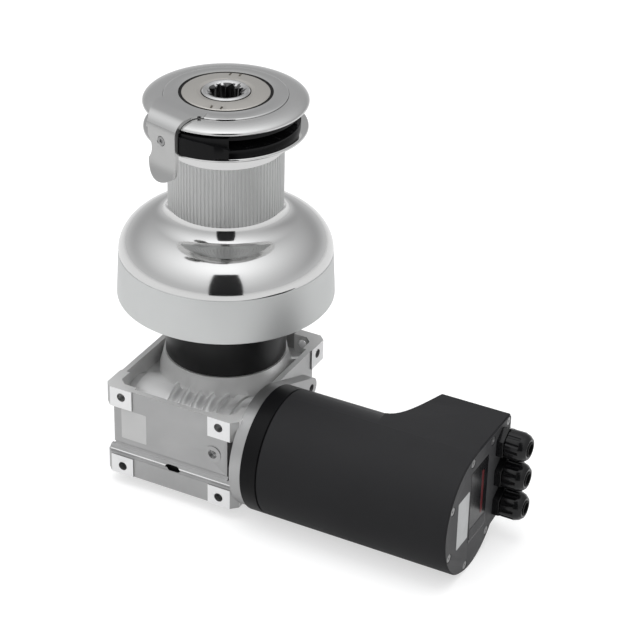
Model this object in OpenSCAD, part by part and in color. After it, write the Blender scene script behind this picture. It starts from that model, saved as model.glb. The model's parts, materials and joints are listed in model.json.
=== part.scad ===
// Electric self-tailing sailboat winch with a worm gearbox and a motor below the deck.
// The drum axis is Z, the deck plane is z = 0 and the motor lies along +X.

/* [Drum and skirt] */
// Radius of the ribbed drum barrel
drum_r = 41.1; // [38:0.1:46]
// Radius of the skirt at its rim
skirt_r = 78.5; // [72:0.5:86]
// Height of the satin band of the skirt
skirt_band_h = 33.6; // [24:0.2:42]
// Taper of the satin band, from rim to shoulder
skirt_taper = 1.6; // [0:0.1:3]
// Height of the polished dome, from the shoulder to its top under the drum foot
dome_h = 26.4; // [20:0.1:32]
// Height of the sweep from the top of the dome up to the drum foot
sweep_h = 11.3; // [8:0.1:14]
// Reach of that sweep beyond the drum
sweep_reach = 10.9; // [8:0.1:14]
// Wall of the skirt
skirt_wall = 3; // [2:0.1:4]
// Gap between the skirt rim and the deck
skirt_gap = 2; // [1:0.1:3]
// Height of the ribbed part of the barrel
rib_zone_h = 44.7; // [36:0.1:52]
// Height of the polished neck above the ribs
neck_h = 13.3; // [8:0.1:18]
// Number of grip ribs round the barrel
rib_count = 90; // [60:2:110]
// Depth of the grooves between the grip ribs
rib_depth = 0.5; // [0.3:0.05:0.8]

/* [Self-tailing jaws] */
// Overhang of the lower jaw flange beyond the jaw rings
jaw_flange_lip = 5.4; // [3:0.1:8]
// Thickness of the lower jaw flange
jaw_flange_h = 2.7; // [2:0.1:4]
// Radius of the black jaw rings
jaw_ring_r = 52; // [49:0.1:54]
// Thickness of each jaw ring at its edge
jaw_ring_h = 5.2; // [4.5:0.1:6.5]
// Gap between the two jaw rings at the mouth
jaw_mouth = 5; // [4.5:0.1:7]
// Number of grip teeth on each jaw ring
jaw_tooth_count = 24; // [16:1:30]
// Radius of the hub that carries the jaw rings
jaw_hub_r = 36; // [34:0.1:37]
// Rise of the cone of each jaw ring
jaw_cone = 2.4; // [1.5:0.1:2.8]
// Number of springs that press the upper jaw down
jaw_spring_count = 4; // [3:1:6]
// Overhang of the crown beyond the jaw rings
crown_lip = 5.7; // [4:0.1:8]
// Height of the crown from its floor to the seam with the arm disc
crown_h = 7; // [6.4:0.1:9]

/* [Arm and top] */
// Radius of the arm disc
arm_disc_r = 43.2; // [40:0.1:46]
// Direction of the self-tailing arm, in degrees from +X
arm_angle = -105.5; // [-125:0.5:-95]
// Width of the arm
arm_w = 25; // [20:0.5:32]
// Reach of the arm below the deck side of the crown
arm_drop = 44; // [38:0.5:50]
// Thickness of the arm
arm_t = 3.6; // [2.8:0.1:4.5]
// Radius of the top cap nut
top_cap_r = 30.7; // [28:0.1:33]
// Width of the black seal round the top cap
top_seal_w = 2.2; // [1.6:0.1:3]
// Radius of the spindle head with the handle socket
head_r = 16.9; // [16:0.1:18]
// Side of each of the two squares of the handle socket
socket_square = 17.46; // [17.3:0.01:17.6]
// Depth of the handle socket
socket_depth = 32; // [26:0.5:36]

/* [Winch inside] */
// Radius of the base flange
base_r = 66; // [62:0.5:70]
// Thickness of the base flange
base_h = 8; // [6:0.5:10]
// Pitch circle diameter of the deck bolts
deck_bolt_pcd = 112; // [108:0.5:116]
// Diameter of the deck bolt holes
deck_bolt_d = 6.6; // [5.5:0.1:8.4]
// Number of deck bolts
deck_bolt_count = 5; // [4:1:6]
// Outer radius of the centre stem
stem_r = 22; // [21:0.1:24]
// Radius of the bearing rollers
roller_r = 4; // [3.5:0.05:4.4]
// Number of rollers in each drum bearing
roller_count = 12; // [8:1:14]
// Height of the rollers
roller_h = 16; // [12:0.5:20]
// Radius of the main spindle
spindle_r = 11; // [10:0.1:12]
// Gear module of the winch gears
winch_module = 2; // [1.8:0.05:2.1]
// Teeth of the spindle pinion
pinion_teeth = 14; // [12:2:16]
// Teeth of the idler gear
idler_teeth = 18; // [16:2:20]
// Width of the winch gears
winch_gear_w = 14; // [10:0.5:16]

/* [Spacer column] */
// Radius of the spacer column
spacer_r = 44; // [42:0.1:45]
// Length of the spacer column
spacer_h = 45.8; // [38:0.1:60]
// Wall of the spacer column
spacer_wall = 9; // [8.6:0.1:12]
// Radius of the studs through the spacer column
stud_r = 3; // [2.5:0.1:3.2]

/* [Gearbox] */
// Width of the gearbox along the motor axis
box_w = 108.4; // [100:0.2:116]
// Depth of the gearbox across the motor axis
box_d = 137; // [130:0.5:146]
// Height of the gearbox
box_h = 72.7; // [70:0.1:80]
// Distance from the drum axis to the front face of the gearbox
box_front = 81.5; // [79:0.5:84]
// Distance between the drum axis and the worm axis
centre_distance = 45; // [43.5:0.1:46.5]
// Distance from the deck to the top rim of the gearbox
box_top_drop = 51.6; // [50:0.1:66]
// Height of the upper and lower frames of the gearbox
frame_h = 16; // [13:0.2:18]
// Wall of the upper frame
rim_wall = 4; // [3:0.1:5]
// Inset of the waist between the two frames
waist_inset = 7.5; // [5:0.1:9]
// Width of the machined corner pads
pad_w = 23; // [20:0.5:26]
// Spacing of the pad holes across the front face
pad_hole_x = 80; // [78:0.5:84]
// Spacing of the pad holes across the back face
back_hole_x = 76; // [70:0.5:78]
// Spacing of the pad holes across the left face
left_hole_y = 114; // [110:0.5:116]
// Spacing of the pad holes up each face
pad_hole_z = 59; // [58:0.5:60]
// Diameter of the pad holes
pad_hole_d = 6.8; // [5:0.1:8.4]
// Radius of the worm tube of the housing
worm_tube_r = 28; // [25:0.2:30]
// Radius of the hub under the spacer column, at its foot
hub_foot_r = 48.5; // [47:0.1:50]
// Number of ribs over the worm tube
rib_plates = 5; // [3:1:6]
// Pitch of the ribs over the worm tube
rib_pitch = 9.5; // [8:0.1:11]

/* [Worm gear] */
// Gear module of the worm gear
worm_module = 2; // [1.85:0.05:2.1]
// Teeth of the worm wheel
wheel_teeth = 32; // [30:1:34]
// Width of the worm wheel
wheel_w = 16; // [14:0.5:18]
// Starts of the worm thread
worm_starts = 2; // [1:1:2]

/* [Motor] */
// Radius of the motor housing
motor_r = 46.3; // [42:0.1:48]
// Distance from the drum axis to the outer face of the end plate
motor_end = 220; // [212:0.5:240]
// Length of the front bell of the motor
bell_l = 13.4; // [11:0.1:16]
// Wall of the motor housing
motor_wall = 4; // [3:0.1:5]
// Thickness of the end plate
end_plate_t = 4; // [3:0.1:7]
// Reach of the controller box from the motor axis
ctrl_reach = 59; // [55:0.5:64]
// Depth of the controller box below the motor axis
ctrl_low = 30; // [26:0.5:33]
// Length of the controller box along the motor axis
ctrl_l = 52; // [44:0.5:60]
// Radius of the motor magnets' bore
magnet_bore_r = 30; // [28:0.5:32]
// Length of the commutator
commutator_l = 16; // [12:0.5:20]
// Width of a carbon brush along the motor
brush_w = 10; // [7:0.5:11]

/* [Cable glands] */
// Number of cable glands
gland_count = 3; // [1:1:3]
// Spacing of the cable glands
gland_pitch = 24.5; // [23:0.1:26]
// Radius of the cable hole in a gland
gland_bore_r = 4; // [3:0.1:5]
// Distance of the gland column from the motor axis
gland_out = 44; // [42:0.5:46]
// Height of the top gland above the motor axis
gland_top = 31; // [29:0.5:32]

/* [Hidden] */
$fn = 96;
// Clearances
run_gap = 0.05;
slide_gap = 0.3;
// Heights above the deck
rim_z = skirt_gap;
shoulder_z = rim_z + skirt_band_h;
dome_top_z = shoulder_z + dome_h;
foot_z = dome_top_z + sweep_h;
neck_z = foot_z + rib_zone_h;
barrel_top_z = neck_z + neck_h;
flange_top_z = barrel_top_z + jaw_flange_h;
jaw_travel = 2;
upper_ring_z = flange_top_z + jaw_ring_h + jaw_mouth;
upper_ring_h = jaw_ring_h - 1.5;
crown_z = upper_ring_z + upper_ring_h + jaw_travel + slide_gap;
crown_floor_t = 2.5;
seam_z = crown_z + crown_h;
crown_edge_z = crown_z + 2;
arm_disc_z = crown_z + crown_floor_t + slide_gap;
arm_disc_rise = 0.7;
crown_top_z = seam_z - 1;
cap_seat_z = seam_z - 2.2;
cap_top_z = seam_z + 1;
head_top_z = cap_top_z + 1.4;
// Winch gears
pinion_r = winch_module * pinion_teeth / 2;
idler_r = winch_module * idler_teeth / 2;
idler_dist = pinion_r + idler_r;
ring_teeth = pinion_teeth + 2 * idler_teeth;
ring_r = winch_module * ring_teeth / 2;
ring_wall = 8;
ring_wall_r = ring_r + ring_wall;
ring_screw_r = ring_wall_r - ring_wall / 2;
ring_screw_bore = 1.75;
ring_tip_cut = 1.5;
gear_z = base_h + 5;
gear_root = 1.25 * winch_module;
backlash = 0.12;
idler_pin_r = 5;
// Jaws
jaw_flange_r = jaw_ring_r + jaw_flange_lip;
crown_r = jaw_ring_r + crown_lip;
// Arm
arm_gap = 0.45;
arm_in = crown_r + 0.6;
arm_out = arm_in + arm_t;
arm_bend = 10;
arm_flare = 5;
arm_tip_z = seam_z - arm_drop;
arm_foot_z = arm_tip_z + 14;
arm_screw_z = flange_top_z + 7.2;
// Skirt and drum
shoulder_r = skirt_r - skirt_taper;
hub_r = drum_r - 3.1;
neck_r = drum_r + 0.2;
drum_bore_r = stem_r + 2 * roller_r;
drum_relief_r = drum_bore_r + 2;
dome_mid = drum_r + 2.9;
dome_start = asin((sweep_reach + drum_r - dome_mid) / (shoulder_r - dome_mid));
web_z = 44;
web_t = 7;
web_r = ring_wall_r;
// Base and stem
stem_foot_z = gear_z + winch_gear_w + 7;
stem_foot_h = 6;
stem_foot_r = idler_dist + idler_pin_r + 2.5;
base_wall_out = stem_r + 2;
base_wall_in = pinion_r + winch_module + 2;
stem_bore_r = spindle_r + 2.5;
head_foot_z = head_top_z - socket_depth - 9;
bush_wall = 1.5;
stem_head_bore = head_r + run_gap + bush_wall;
bearing_low_z = web_z + 1;
bearing_high_z = neck_z - 4;
cage_wall = 3.2;
thrust_r_out = drum_bore_r + 7;
// Spacer column
spacer_in = spacer_r - spacer_wall;
stud_circle = spacer_r - spacer_wall / 2;
hub_top_z = -spacer_h;
// Gearbox
box_top_z = -box_top_drop;
box_bot_z = box_top_z - box_h;
worm_z = box_top_z - box_h / 2;
worm_y = -centre_distance;
box_y = box_d / 2 - box_front;
box_chamfer = 4.9;
side_hole_in = 14;
pad_lift = 1;
rib_mid_x = 6;
recess_z = box_top_z - 14.4;
bottom_recess = 6;
cover_z = box_bot_z + bottom_recess;
chamber_r = worm_module * wheel_teeth / 2 + 5;
flange_face = box_w / 2 + 8.1;
// Worm gear
wheel_r = worm_module * wheel_teeth / 2;
worm_r = centre_distance - wheel_r;
worm_lead = PI * worm_module * worm_starts;
lead_angle = atan(worm_lead / (2 * PI * worm_r));
worm_tip = worm_r + worm_module;
worm_root = worm_r - 1.2 * worm_module;
worm_len = 34;
worm_backlash = 0.35;
// Bearings of the gearbox
out_journal_r = 15;
out_bearing_r = 27.5;
out_bearing_w = 13;
out_seal_r = 24;
out_seal_w = 7;
high_bearing_z = hub_top_z - 24.2;
low_bearing_z = cover_z + 5;
worm_journal_r = 8.5;
worm_bearing_r = 20;
worm_bearing_w = 12;
worm_seal_w = 5.7;
left_bearing_x = -box_w / 2 + waist_inset + 7;
right_bearing_x = box_w / 2 - worm_seal_w - worm_bearing_w;
drive_shaft_r = 10;
shaft_joint_z = -20;
// Motor
bell_x = flange_face + slide_gap / 3;
case_x = bell_x + bell_l;
plate_x = motor_end - end_plate_t;
motor_shaft_r = 5.5;
motor_journal_r = 7.5;
motor_bearing_r = 17.5;
motor_bearing_w = 11;
case_in = motor_r - motor_wall;
armature_r = magnet_bore_r - 0.8;
spigot_l = 3;
bolt_head_h = 4;
rear_wall_t = 2;
rear_seat_x = plate_x - 8;
rear_plate_x = rear_seat_x - motor_bearing_w - rear_wall_t;
brush_plate_t = 4;
brush_plate_x = rear_plate_x - 2 - brush_plate_t;
commutator_x = brush_plate_x - 1 - commutator_l;
winding_l = 9;
armature_x = case_x + spigot_l + bolt_head_h + 1 + winding_l;
armature_l = commutator_x - 2 - winding_l - armature_x;
commutator_r = 13;
ctrl_x = motor_end - ctrl_l;
gland_thread_r = 8;
bell_bolt_r = motor_r - 9;
plate_screw_circle = motor_r - 4.8;
plate_lug_l = 7.5;
plate_screw_r = 1.5;
crown_screw_r = 1.5;
crown_screw_x = (drum_bore_r + jaw_hub_r) / 2;
crown_screw_depth = 6;

// Involute tooth helpers: the unwound length of thread gives the point on the flank.
function roll_angle(base, r) = r <= base ? 0 : sqrt(r * r / (base * base) - 1) * 180 / PI;
function flank_turn(base, r) = roll_angle(base, r) - (r <= base ? 0 : acos(base / r));
function flank_step(lo, hi, k, n) = lo + (hi - lo) * k / n;

// One external gear outline: each tooth is centred on its own pitch angle.
function gear_points(m, teeth, root_r, tip_r, slack, n = 4) =
  let (
    pitch = m * teeth / 2,
    base = pitch * cos(20),
    half = 90 / teeth - slack / pitch * 90 / PI,
    mid = flank_turn(base, pitch)
  )
  [for (t = [0 : teeth - 1]) each concat(
    [for (k = [0 : n])
      let (r = flank_step(root_r, tip_r, k, n), a = -half - mid + flank_turn(base, r))
      [r * cos(360 / teeth * t + a), r * sin(360 / teeth * t + a)]],
    [for (k = [n : -1 : 0])
      let (r = flank_step(root_r, tip_r, k, n), a = half + mid - flank_turn(base, r))
      [r * cos(360 / teeth * t + a), r * sin(360 / teeth * t + a)]]
  )];

// The space inside an internal gear is an external outline with fatter teeth.
module ring_space() {
  rotate(180 / ring_teeth)
    polygon(gear_points(winch_module, ring_teeth, ring_r - ring_tip_cut, ring_r + gear_root, -backlash));
}

module tube(r_out, r_in, h) {
  difference() {
    cylinder(r = r_out, h = h);
    translate([0, 0, -1]) cylinder(r = r_in, h = h + 2);
  }
}

module along_x(x, y, z) {
  translate([x, y, z]) rotate([0, 90, 0]) children();
}

// A shaft-side and a housing-side ring with a row of balls between them.
module ball_bearing(r_in, r_out, w, balls) {
  mid = (r_in + r_out) / 2;
  ball = (r_out - r_in) * 0.27;
  land = ball * 0.45;
  difference() {
    tube(r_out, mid + land, w);
    translate([0, 0, w / 2]) rotate_extrude() translate([mid, 0]) circle(r = ball + run_gap);
  }
  difference() {
    tube(mid - land, r_in, w);
    translate([0, 0, w / 2]) rotate_extrude() translate([mid, 0]) circle(r = ball + run_gap);
  }
  for (k = [0 : balls - 1]) rotate(360 / balls * k) translate([mid, 0, w / 2]) sphere(r = ball);
}

// A cap screw lying along +Z with its head above z = 0 and a hexagon recess.
module cap_screw(r, head_r, head_h, l) {
  difference() {
    union() {
      translate([0, 0, -l]) cylinder(r = r, h = l);
      cylinder(r = head_r, h = head_h);
    }
    translate([0, 0, head_h * 0.45]) cylinder(r = head_r * 0.5, h = head_h, $fn = 6);
  }
}

// Outer curve of the dome, a quarter ellipse that the sweep cuts off near the drum.
function dome_point(t, wall) =
  [dome_mid + (shoulder_r - dome_mid - wall) * sin(t), shoulder_z + (dome_h - wall) * cos(t)];
function curve_point(a, b, c, d, t) =
  pow(1 - t, 3) * a + 3 * t * pow(1 - t, 2) * b + 3 * t * t * (1 - t) * c + pow(t, 3) * d;
// The sweep is a cubic curve from the drum foot down and out to the start of the dome.
function sweep_point(t) =
  let (last = dome_point(dome_start, 0), slope = -dome_h / (shoulder_r - dome_mid) * tan(dome_start))
  curve_point([drum_r, foot_z], [drum_r, foot_z - 0.6 * sweep_h], last - 0.55 * sweep_reach * [1, slope], last, t);

module drum_skirt() {
  color("silver") rotate_extrude() polygon(concat(
    [[hub_r, foot_z]],
    [for (t = [0 : 0.125 : 1]) sweep_point(t)],
    [for (k = [1 : 14]) dome_point(dome_start + (90 - dome_start) * k / 14, 0)],
    [[skirt_r, rim_z], [skirt_r - skirt_wall, rim_z]],
    [for (k = [14 : -1 : 0]) dome_point(dome_start + (90 - dome_start) * k / 14, skirt_wall)],
    [[hub_r, dome_top_z - skirt_wall - 1]]
  ));
}

module winch_base() {
  color("dimgray") difference() {
    union() {
      cylinder(r = base_r, h = base_h - 2);
      translate([0, 0, base_h - 2]) cylinder(r1 = base_r, r2 = base_r - 2, h = 2);
      cylinder(r = base_wall_out, h = stem_foot_z);
      translate([idler_dist, 0, 0]) cylinder(r = idler_pin_r + 4, h = gear_z - slide_gap);
    }
    translate([0, 0, -1]) cylinder(r = spindle_r + 2, h = base_h + 2);
    translate([0, 0, base_h]) cylinder(r = base_wall_in, h = stem_foot_z);
    translate([idler_dist, 0, gear_z - slide_gap])
      cylinder(r = idler_r + winch_module + 0.8, h = stem_foot_z);
    translate([idler_dist, 0, 3]) cylinder(r = idler_pin_r, h = stem_foot_z);
    for (k = [0 : deck_bolt_count - 1]) rotate(360 / deck_bolt_count * (k + 0.5))
      translate([deck_bolt_pcd / 2, 0, -1]) cylinder(r = deck_bolt_d / 2, h = base_h + 2);
    for (k = [0 : 3]) rotate(90 * k + 45)
      translate([stud_circle, 0, -1]) cylinder(r = stud_r, h = base_h - 1);
  }
}

module centre_stem() {
  color("gray") difference() {
    union() {
      translate([0, 0, stem_foot_z]) cylinder(r = stem_foot_r, h = stem_foot_h);
      translate([0, 0, stem_foot_z]) cylinder(r = stem_r, h = cap_seat_z - stem_foot_z);
    }
    translate([0, 0, stem_foot_z - 1]) cylinder(r = stem_bore_r, h = cap_seat_z);
    translate([0, 0, head_foot_z - slide_gap]) cylinder(r = stem_head_bore, h = cap_seat_z);
    translate([idler_dist, 0, stem_foot_z - 1]) cylinder(r = idler_pin_r, h = stem_foot_h + 2);
  }
}

module stem_bushes() {
  color("darkgoldenrod") {
    translate([0, 0, 0.5]) tube(spindle_r + 2, spindle_r + run_gap, base_h - 0.5);
    translate([0, 0, stem_foot_z]) tube(stem_bore_r, spindle_r + run_gap, 20);
    translate([0, 0, head_foot_z + 3]) tube(stem_head_bore, head_r + run_gap, cap_seat_z - head_foot_z - 5);
  }
}

module thrust_washer() {
  color("ivory") translate([0, 0, stem_foot_z + stem_foot_h])
    tube(thrust_r_out, stem_r + 2, web_z - stem_foot_z - stem_foot_h - slide_gap);
}

module idler_pin() {
  color("silver") translate([idler_dist, 0, 3]) cylinder(r = idler_pin_r, h = stem_foot_z + stem_foot_h - 3);
}

module bearing_spacer() {
  color("ivory") translate([0, 0, bearing_low_z + roller_h + 1 + slide_gap])
    tube(stem_r + 3, stem_r + slide_gap, bearing_high_z - bearing_low_z - roller_h - 2 - 2 * slide_gap);
}

// A cage with a row of rollers in its pockets.
module roller_bearing(z) {
  mid = stem_r + roller_r;
  pocket = roller_r + 0.2;
  difference() {
    translate([0, 0, z - 1]) tube(mid + cage_wall / 2, mid - cage_wall / 2, roller_h + 2);
    for (k = [0 : roller_count - 1]) rotate(360 / roller_count * k)
      translate([mid, 0, z - slide_gap / 2]) cylinder(r = pocket, h = roller_h + slide_gap);
  }
  for (k = [0 : roller_count - 1]) rotate(360 / roller_count * k)
    translate([mid, 0, z]) cylinder(r = roller_r - run_gap, h = roller_h);
}

module lower_roller_bearing() {
  color("lightsteelblue") roller_bearing(bearing_low_z);
}

module upper_roller_bearing() {
  color("lightsteelblue") roller_bearing(bearing_high_z);
}

// Section of the arm along its own direction: a level bridge, a bend, a straight leg and a flared tip.
function flare_out(z) = arm_flare * pow(max(0, arm_foot_z - z) / (arm_foot_z - arm_tip_z), 2);

module arm_section() {
  step = (arm_foot_z - arm_tip_z) / 8;
  bend_z = seam_z + 0.6 - arm_bend;
  polygon(concat(
    [[16, seam_z - 1], [23, seam_z - 0.1], [36, seam_z + arm_disc_rise], [44, seam_z + 0.9]],
    [for (t = [90 : -7.5 : 0]) [arm_out - arm_bend + arm_bend * cos(t), bend_z + arm_bend * sin(t)]],
    [for (z = [arm_foot_z : -step : arm_tip_z]) [arm_out + flare_out(z), z]],
    [for (z = [arm_tip_z : step : arm_foot_z]) [arm_in + flare_out(z) * 1.12, z]],
    [[arm_in, crown_z], [arm_disc_r + 1, crown_z], [arm_disc_r + 1, arm_disc_z + 0.5], [16, arm_disc_z + 0.5]]
  ));
}

// Plan of the arm: a straight edge that leaves the disc along its tangent, and a fillet on the other side.
module arm_plan() {
  far = 76;
  corner = [arm_out - 1.7, -arm_w * 0.57];
  turn = atan2(corner[1], corner[0]) - acos(arm_disc_r / norm(corner));
  side = arm_w * 0.54;
  blend = 8;
  blend_u = sqrt(pow(arm_disc_r + blend, 2) - pow(side + blend, 2));
  share = arm_disc_r / (arm_disc_r + blend);
  difference() {
    polygon([
      [0, 0], arm_disc_r * [cos(turn), sin(turn)], corner, [far, corner[1]], [far, side], [blend_u, side],
      [blend_u, side + blend], share * [blend_u, side + blend]
    ]);
    translate([blend_u, side + blend]) circle(r = blend);
  }
}

// Face-on outline of the leg: it narrows to a waist and ends in a rounded thumb tip.
module arm_outline() {
  waist_w = arm_w * 0.9;
  difference() {
    union() {
      translate([-arm_w, arm_foot_z + 2]) square([2 * arm_w, seam_z]);
      translate([2.2, arm_tip_z + 12.6]) scale([1.13, 1]) circle(r = 12.6);
      translate([-8, arm_tip_z + 10]) square([21.4, 12]);
    }
    translate([-arm_w * 0.86, arm_foot_z + 6.5]) circle(r = arm_w * 0.86 - waist_w * 0.4);
    translate([-arm_w * 2, arm_foot_z + 6.5]) square([arm_w * 2 - waist_w * 0.56, 14]);
  }
}

module self_tailing_arm() {
  ring_bore = top_cap_r + top_seal_w;
  color("silver") difference() {
    union() {
      rotate_extrude() polygon(concat(
        [[stem_r, arm_disc_z], [arm_disc_r, arm_disc_z]],
        [for (t = [0 : 15 : 90]) [arm_disc_r - 0.8 + 0.8 * cos(t), seam_z - 0.8 + 0.8 * sin(t)]],
        [[ring_bore, seam_z + arm_disc_rise], [ring_bore, cap_seat_z], [stem_r, cap_seat_z]]
      ));
      rotate(arm_angle) intersection() {
        rotate([90, 0, 0]) linear_extrude(100, center = true) arm_section();
        linear_extrude(2 * seam_z) arm_plan();
        rotate([90, 0, 90]) linear_extrude(100) arm_outline();
      }
    }
    // Running gap over the crown
    rotate_extrude() polygon(concat(
      [[arm_disc_r, arm_tip_z - 1], [crown_r + arm_gap, arm_tip_z - 1]],
      [for (t = [90 : -7.5 : 0]) [
        arm_disc_r + slide_gap + (crown_r - arm_disc_r - slide_gap + arm_gap) * sin(t),
        crown_edge_z + (crown_top_z - crown_edge_z + arm_gap) * cos(t)]],
      [[arm_disc_r, crown_top_z + arm_gap]]
    ));
    translate([0, 0, cap_seat_z]) cylinder(r = ring_bore, h = 10);
    translate([0, 0, arm_disc_z - 1]) cylinder(r = stem_r, h = 10);
    rotate(arm_angle) along_x(arm_in - 4, 0, arm_screw_z) cylinder(r = 2.05, h = 20);
    rotate(arm_angle) along_x(arm_out - 1.8, 0, arm_screw_z) cylinder(r1 = 2.05, r2 = 4.1, h = 2.05);
    rotate(arm_angle) along_x(arm_out + 0.2, 0, arm_screw_z) cylinder(r = 4.1, h = 4);
  }
}

module arm_screw() {
  color("silver") rotate(arm_angle) difference() {
    union() {
      along_x(arm_in - 4, 0, arm_screw_z) cylinder(r = 2, h = arm_t + 3);
      along_x(arm_out - 1.55, 0, arm_screw_z) cylinder(r1 = 2, r2 = 3.4, h = 1.4);
    }
    along_x(arm_out - 1.2, 0, arm_screw_z) cylinder(r = 1.6, h = 3, $fn = 6);
  }
}

module line_stripper() {
  groove_z = (upper_ring_z + flange_top_z + jaw_ring_h) / 2;
  color([0.05, 0.05, 0.05]) difference() {
    union() {
      rotate(arm_angle - 12) rotate_extrude(angle = 59) polygon([
        [jaw_ring_r + 0.6, flange_top_z + 0.6], [crown_r + 0.3, flange_top_z + 0.6],
        [crown_r + 0.3, crown_z - 0.6], [jaw_ring_r + 0.6, crown_z - 0.6]
      ]);
      intersection() {
        rotate(arm_angle + 13.4) rotate_extrude(angle = 40) polygon([
          [crown_r + 0.3, barrel_top_z - 0.5], [crown_r + 2.6, barrel_top_z + 0.5],
          [crown_r + 2.6, crown_z - 3], [crown_r + 0.3, crown_z - 1]
        ]);
        rotate(arm_angle + 30) rotate([90, 0, 90]) linear_extrude(80) polygon([
          [-18, barrel_top_z - 0.8], [-7, barrel_top_z - 1.2], [3, barrel_top_z + 1], [17, groove_z - 2],
          [18.5, groove_z - 0.5], [17, groove_z + 1], [0, crown_z - 3.5], [-18, crown_z - 2.4]
        ]);
      }
      rotate(arm_angle - 8) rotate_extrude(angle = 50) polygon([
        [jaw_ring_r - 10.5, groove_z - 0.75], [jaw_ring_r + 1, groove_z - 0.75],
        [jaw_ring_r + 1, groove_z + 0.75], [jaw_ring_r - 10.5, groove_z + 0.75]
      ]);
    }
    rotate(arm_angle) along_x(arm_in - 5, 0, arm_screw_z) cylinder(r = 2, h = 8);
  }
}

module top_cap() {
  color([0.75, 0.73, 0.7]) difference() {
    rotate_extrude() polygon([
      [head_r + 0.6, cap_seat_z], [top_cap_r, cap_seat_z], [top_cap_r, cap_top_z - 0.5],
      [top_cap_r - 0.6, cap_top_z], [head_r + 3.6, cap_top_z + 0.5], [head_r + 0.6, cap_top_z]
    ]);
    for (a = [106, 286], s = [-3.5, 3.5]) rotate(a) translate([top_cap_r - 5.5, s - 0.8, cap_top_z - 1.2])
      cube([4.5, 1.6, 3]);
  }
}

module top_seal() {
  color("black") translate([0, 0, cap_seat_z])
    tube(top_cap_r + top_seal_w, top_cap_r, seam_z + arm_disc_rise - cap_seat_z - 0.4);
}

module drum() {
  crest_turn = 360 / rib_count;
  color("gainsboro") difference() {
    union() {
      translate([0, 0, foot_z]) linear_extrude(rib_zone_h) polygon([
        for (k = [0 : rib_count - 1], s = [[0, 0], [0.5, 0], [0.62, rib_depth], [0.88, rib_depth]])
          (drum_r - s[1]) * [cos(crest_turn * (k + s[0])), sin(crest_turn * (k + s[0]))]
      ]);
      translate([0, 0, neck_z]) cylinder(r = neck_r, h = neck_h);
      translate([0, 0, web_z]) cylinder(r = hub_r, h = foot_z - web_z);
      translate([0, 0, web_z]) cylinder(r = web_r, h = web_t);
    }
    translate([0, 0, web_z - 1]) cylinder(r = drum_bore_r, h = barrel_top_z);
    translate([0, 0, bearing_low_z + roller_h + 4])
      cylinder(r = drum_relief_r, h = bearing_high_z - bearing_low_z - roller_h - 8);
    for (k = [0 : 5]) rotate(60 * k + 30)
      translate([ring_screw_r, 0, web_z - 1]) cylinder(r = ring_screw_bore, h = web_t + 2);
  }
}

module ring_gear() {
  tooth_top = gear_z + winch_gear_w + 0.5;
  color("lightslategray") difference() {
    translate([0, 0, gear_z - 0.5]) cylinder(r = ring_wall_r, h = web_z - gear_z + 0.5);
    translate([0, 0, gear_z - 1.5]) linear_extrude(tooth_top - gear_z + 1.5) ring_space();
    translate([0, 0, tooth_top - 0.01]) cylinder(r = ring_r, h = web_z);
    for (k = [0 : 5]) rotate(60 * k + 30)
      translate([ring_screw_r, 0, web_z - 9]) cylinder(r = ring_screw_bore, h = 12);
  }
}

module ring_gear_screws() {
  color("darkgray") for (k = [0 : 5]) rotate(60 * k + 30)
    translate([ring_screw_r, 0, web_z + web_t]) cap_screw(ring_screw_bore, 3, 3, web_t + 8);
}

module lower_jaw_flange() {
  edge = jaw_flange_h / 2;
  color("silver") difference() {
    rotate_extrude() polygon(concat(
      [[drum_bore_r, barrel_top_z], [drum_r + 4, barrel_top_z]],
      [for (t = [-90 : 15 : 90]) [jaw_flange_r - edge + edge * cos(t), barrel_top_z + edge + edge * sin(t)]],
      [[jaw_hub_r, flange_top_z], [jaw_hub_r, crown_z], [drum_bore_r, crown_z]]
    ));
    for (k = [0 : 5]) rotate(60 * k)
      translate([crown_screw_x, 0, crown_z - crown_screw_depth]) cylinder(r = crown_screw_r, h = 2 * crown_screw_depth);
  }
}

// Radial grip ridges on a jaw ring, lying along its cone.
module jaw_ridges(z, lean) {
  for (k = [0 : jaw_tooth_count - 1]) rotate(360 / jaw_tooth_count * k)
    translate([(jaw_hub_r + jaw_ring_r) / 2 + 1, 0, z]) rotate([0, lean, 12])
      cube([jaw_ring_r - jaw_hub_r - 5, 1.2, 1.2], center = true);
}

module lower_jaw_ring() {
  lean = atan(jaw_cone / (jaw_ring_r - jaw_hub_r - 2));
  top = flange_top_z + jaw_ring_h;
  color([0.06, 0.06, 0.06]) union() {
    rotate_extrude() polygon([
      [jaw_hub_r, flange_top_z], [jaw_ring_r, flange_top_z], [jaw_ring_r, top - jaw_cone / 2],
      [jaw_hub_r + 2, top + jaw_cone / 2], [jaw_hub_r, top + jaw_cone / 2]
    ]);
    jaw_ridges(top, lean);
  }
}

module upper_jaw_ring() {
  lean = atan(jaw_cone / (jaw_ring_r - jaw_hub_r - 2));
  color([0.06, 0.06, 0.06]) difference() {
    union() {
      rotate_extrude() polygon([
        [jaw_hub_r + slide_gap, upper_ring_z - jaw_cone / 2], [jaw_hub_r + 2, upper_ring_z - jaw_cone / 2],
        [jaw_ring_r, upper_ring_z + jaw_cone / 2], [jaw_ring_r, upper_ring_z + upper_ring_h],
        [jaw_hub_r + slide_gap, upper_ring_z + upper_ring_h]
      ]);
      jaw_ridges(upper_ring_z, -lean);
    }
    for (k = [0 : jaw_spring_count - 1]) rotate(360 / jaw_spring_count * k)
      translate([jaw_hub_r + 5, 0, upper_ring_z + upper_ring_h - 2.2]) cylinder(r = 2.9, h = 3);
  }
}

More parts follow.
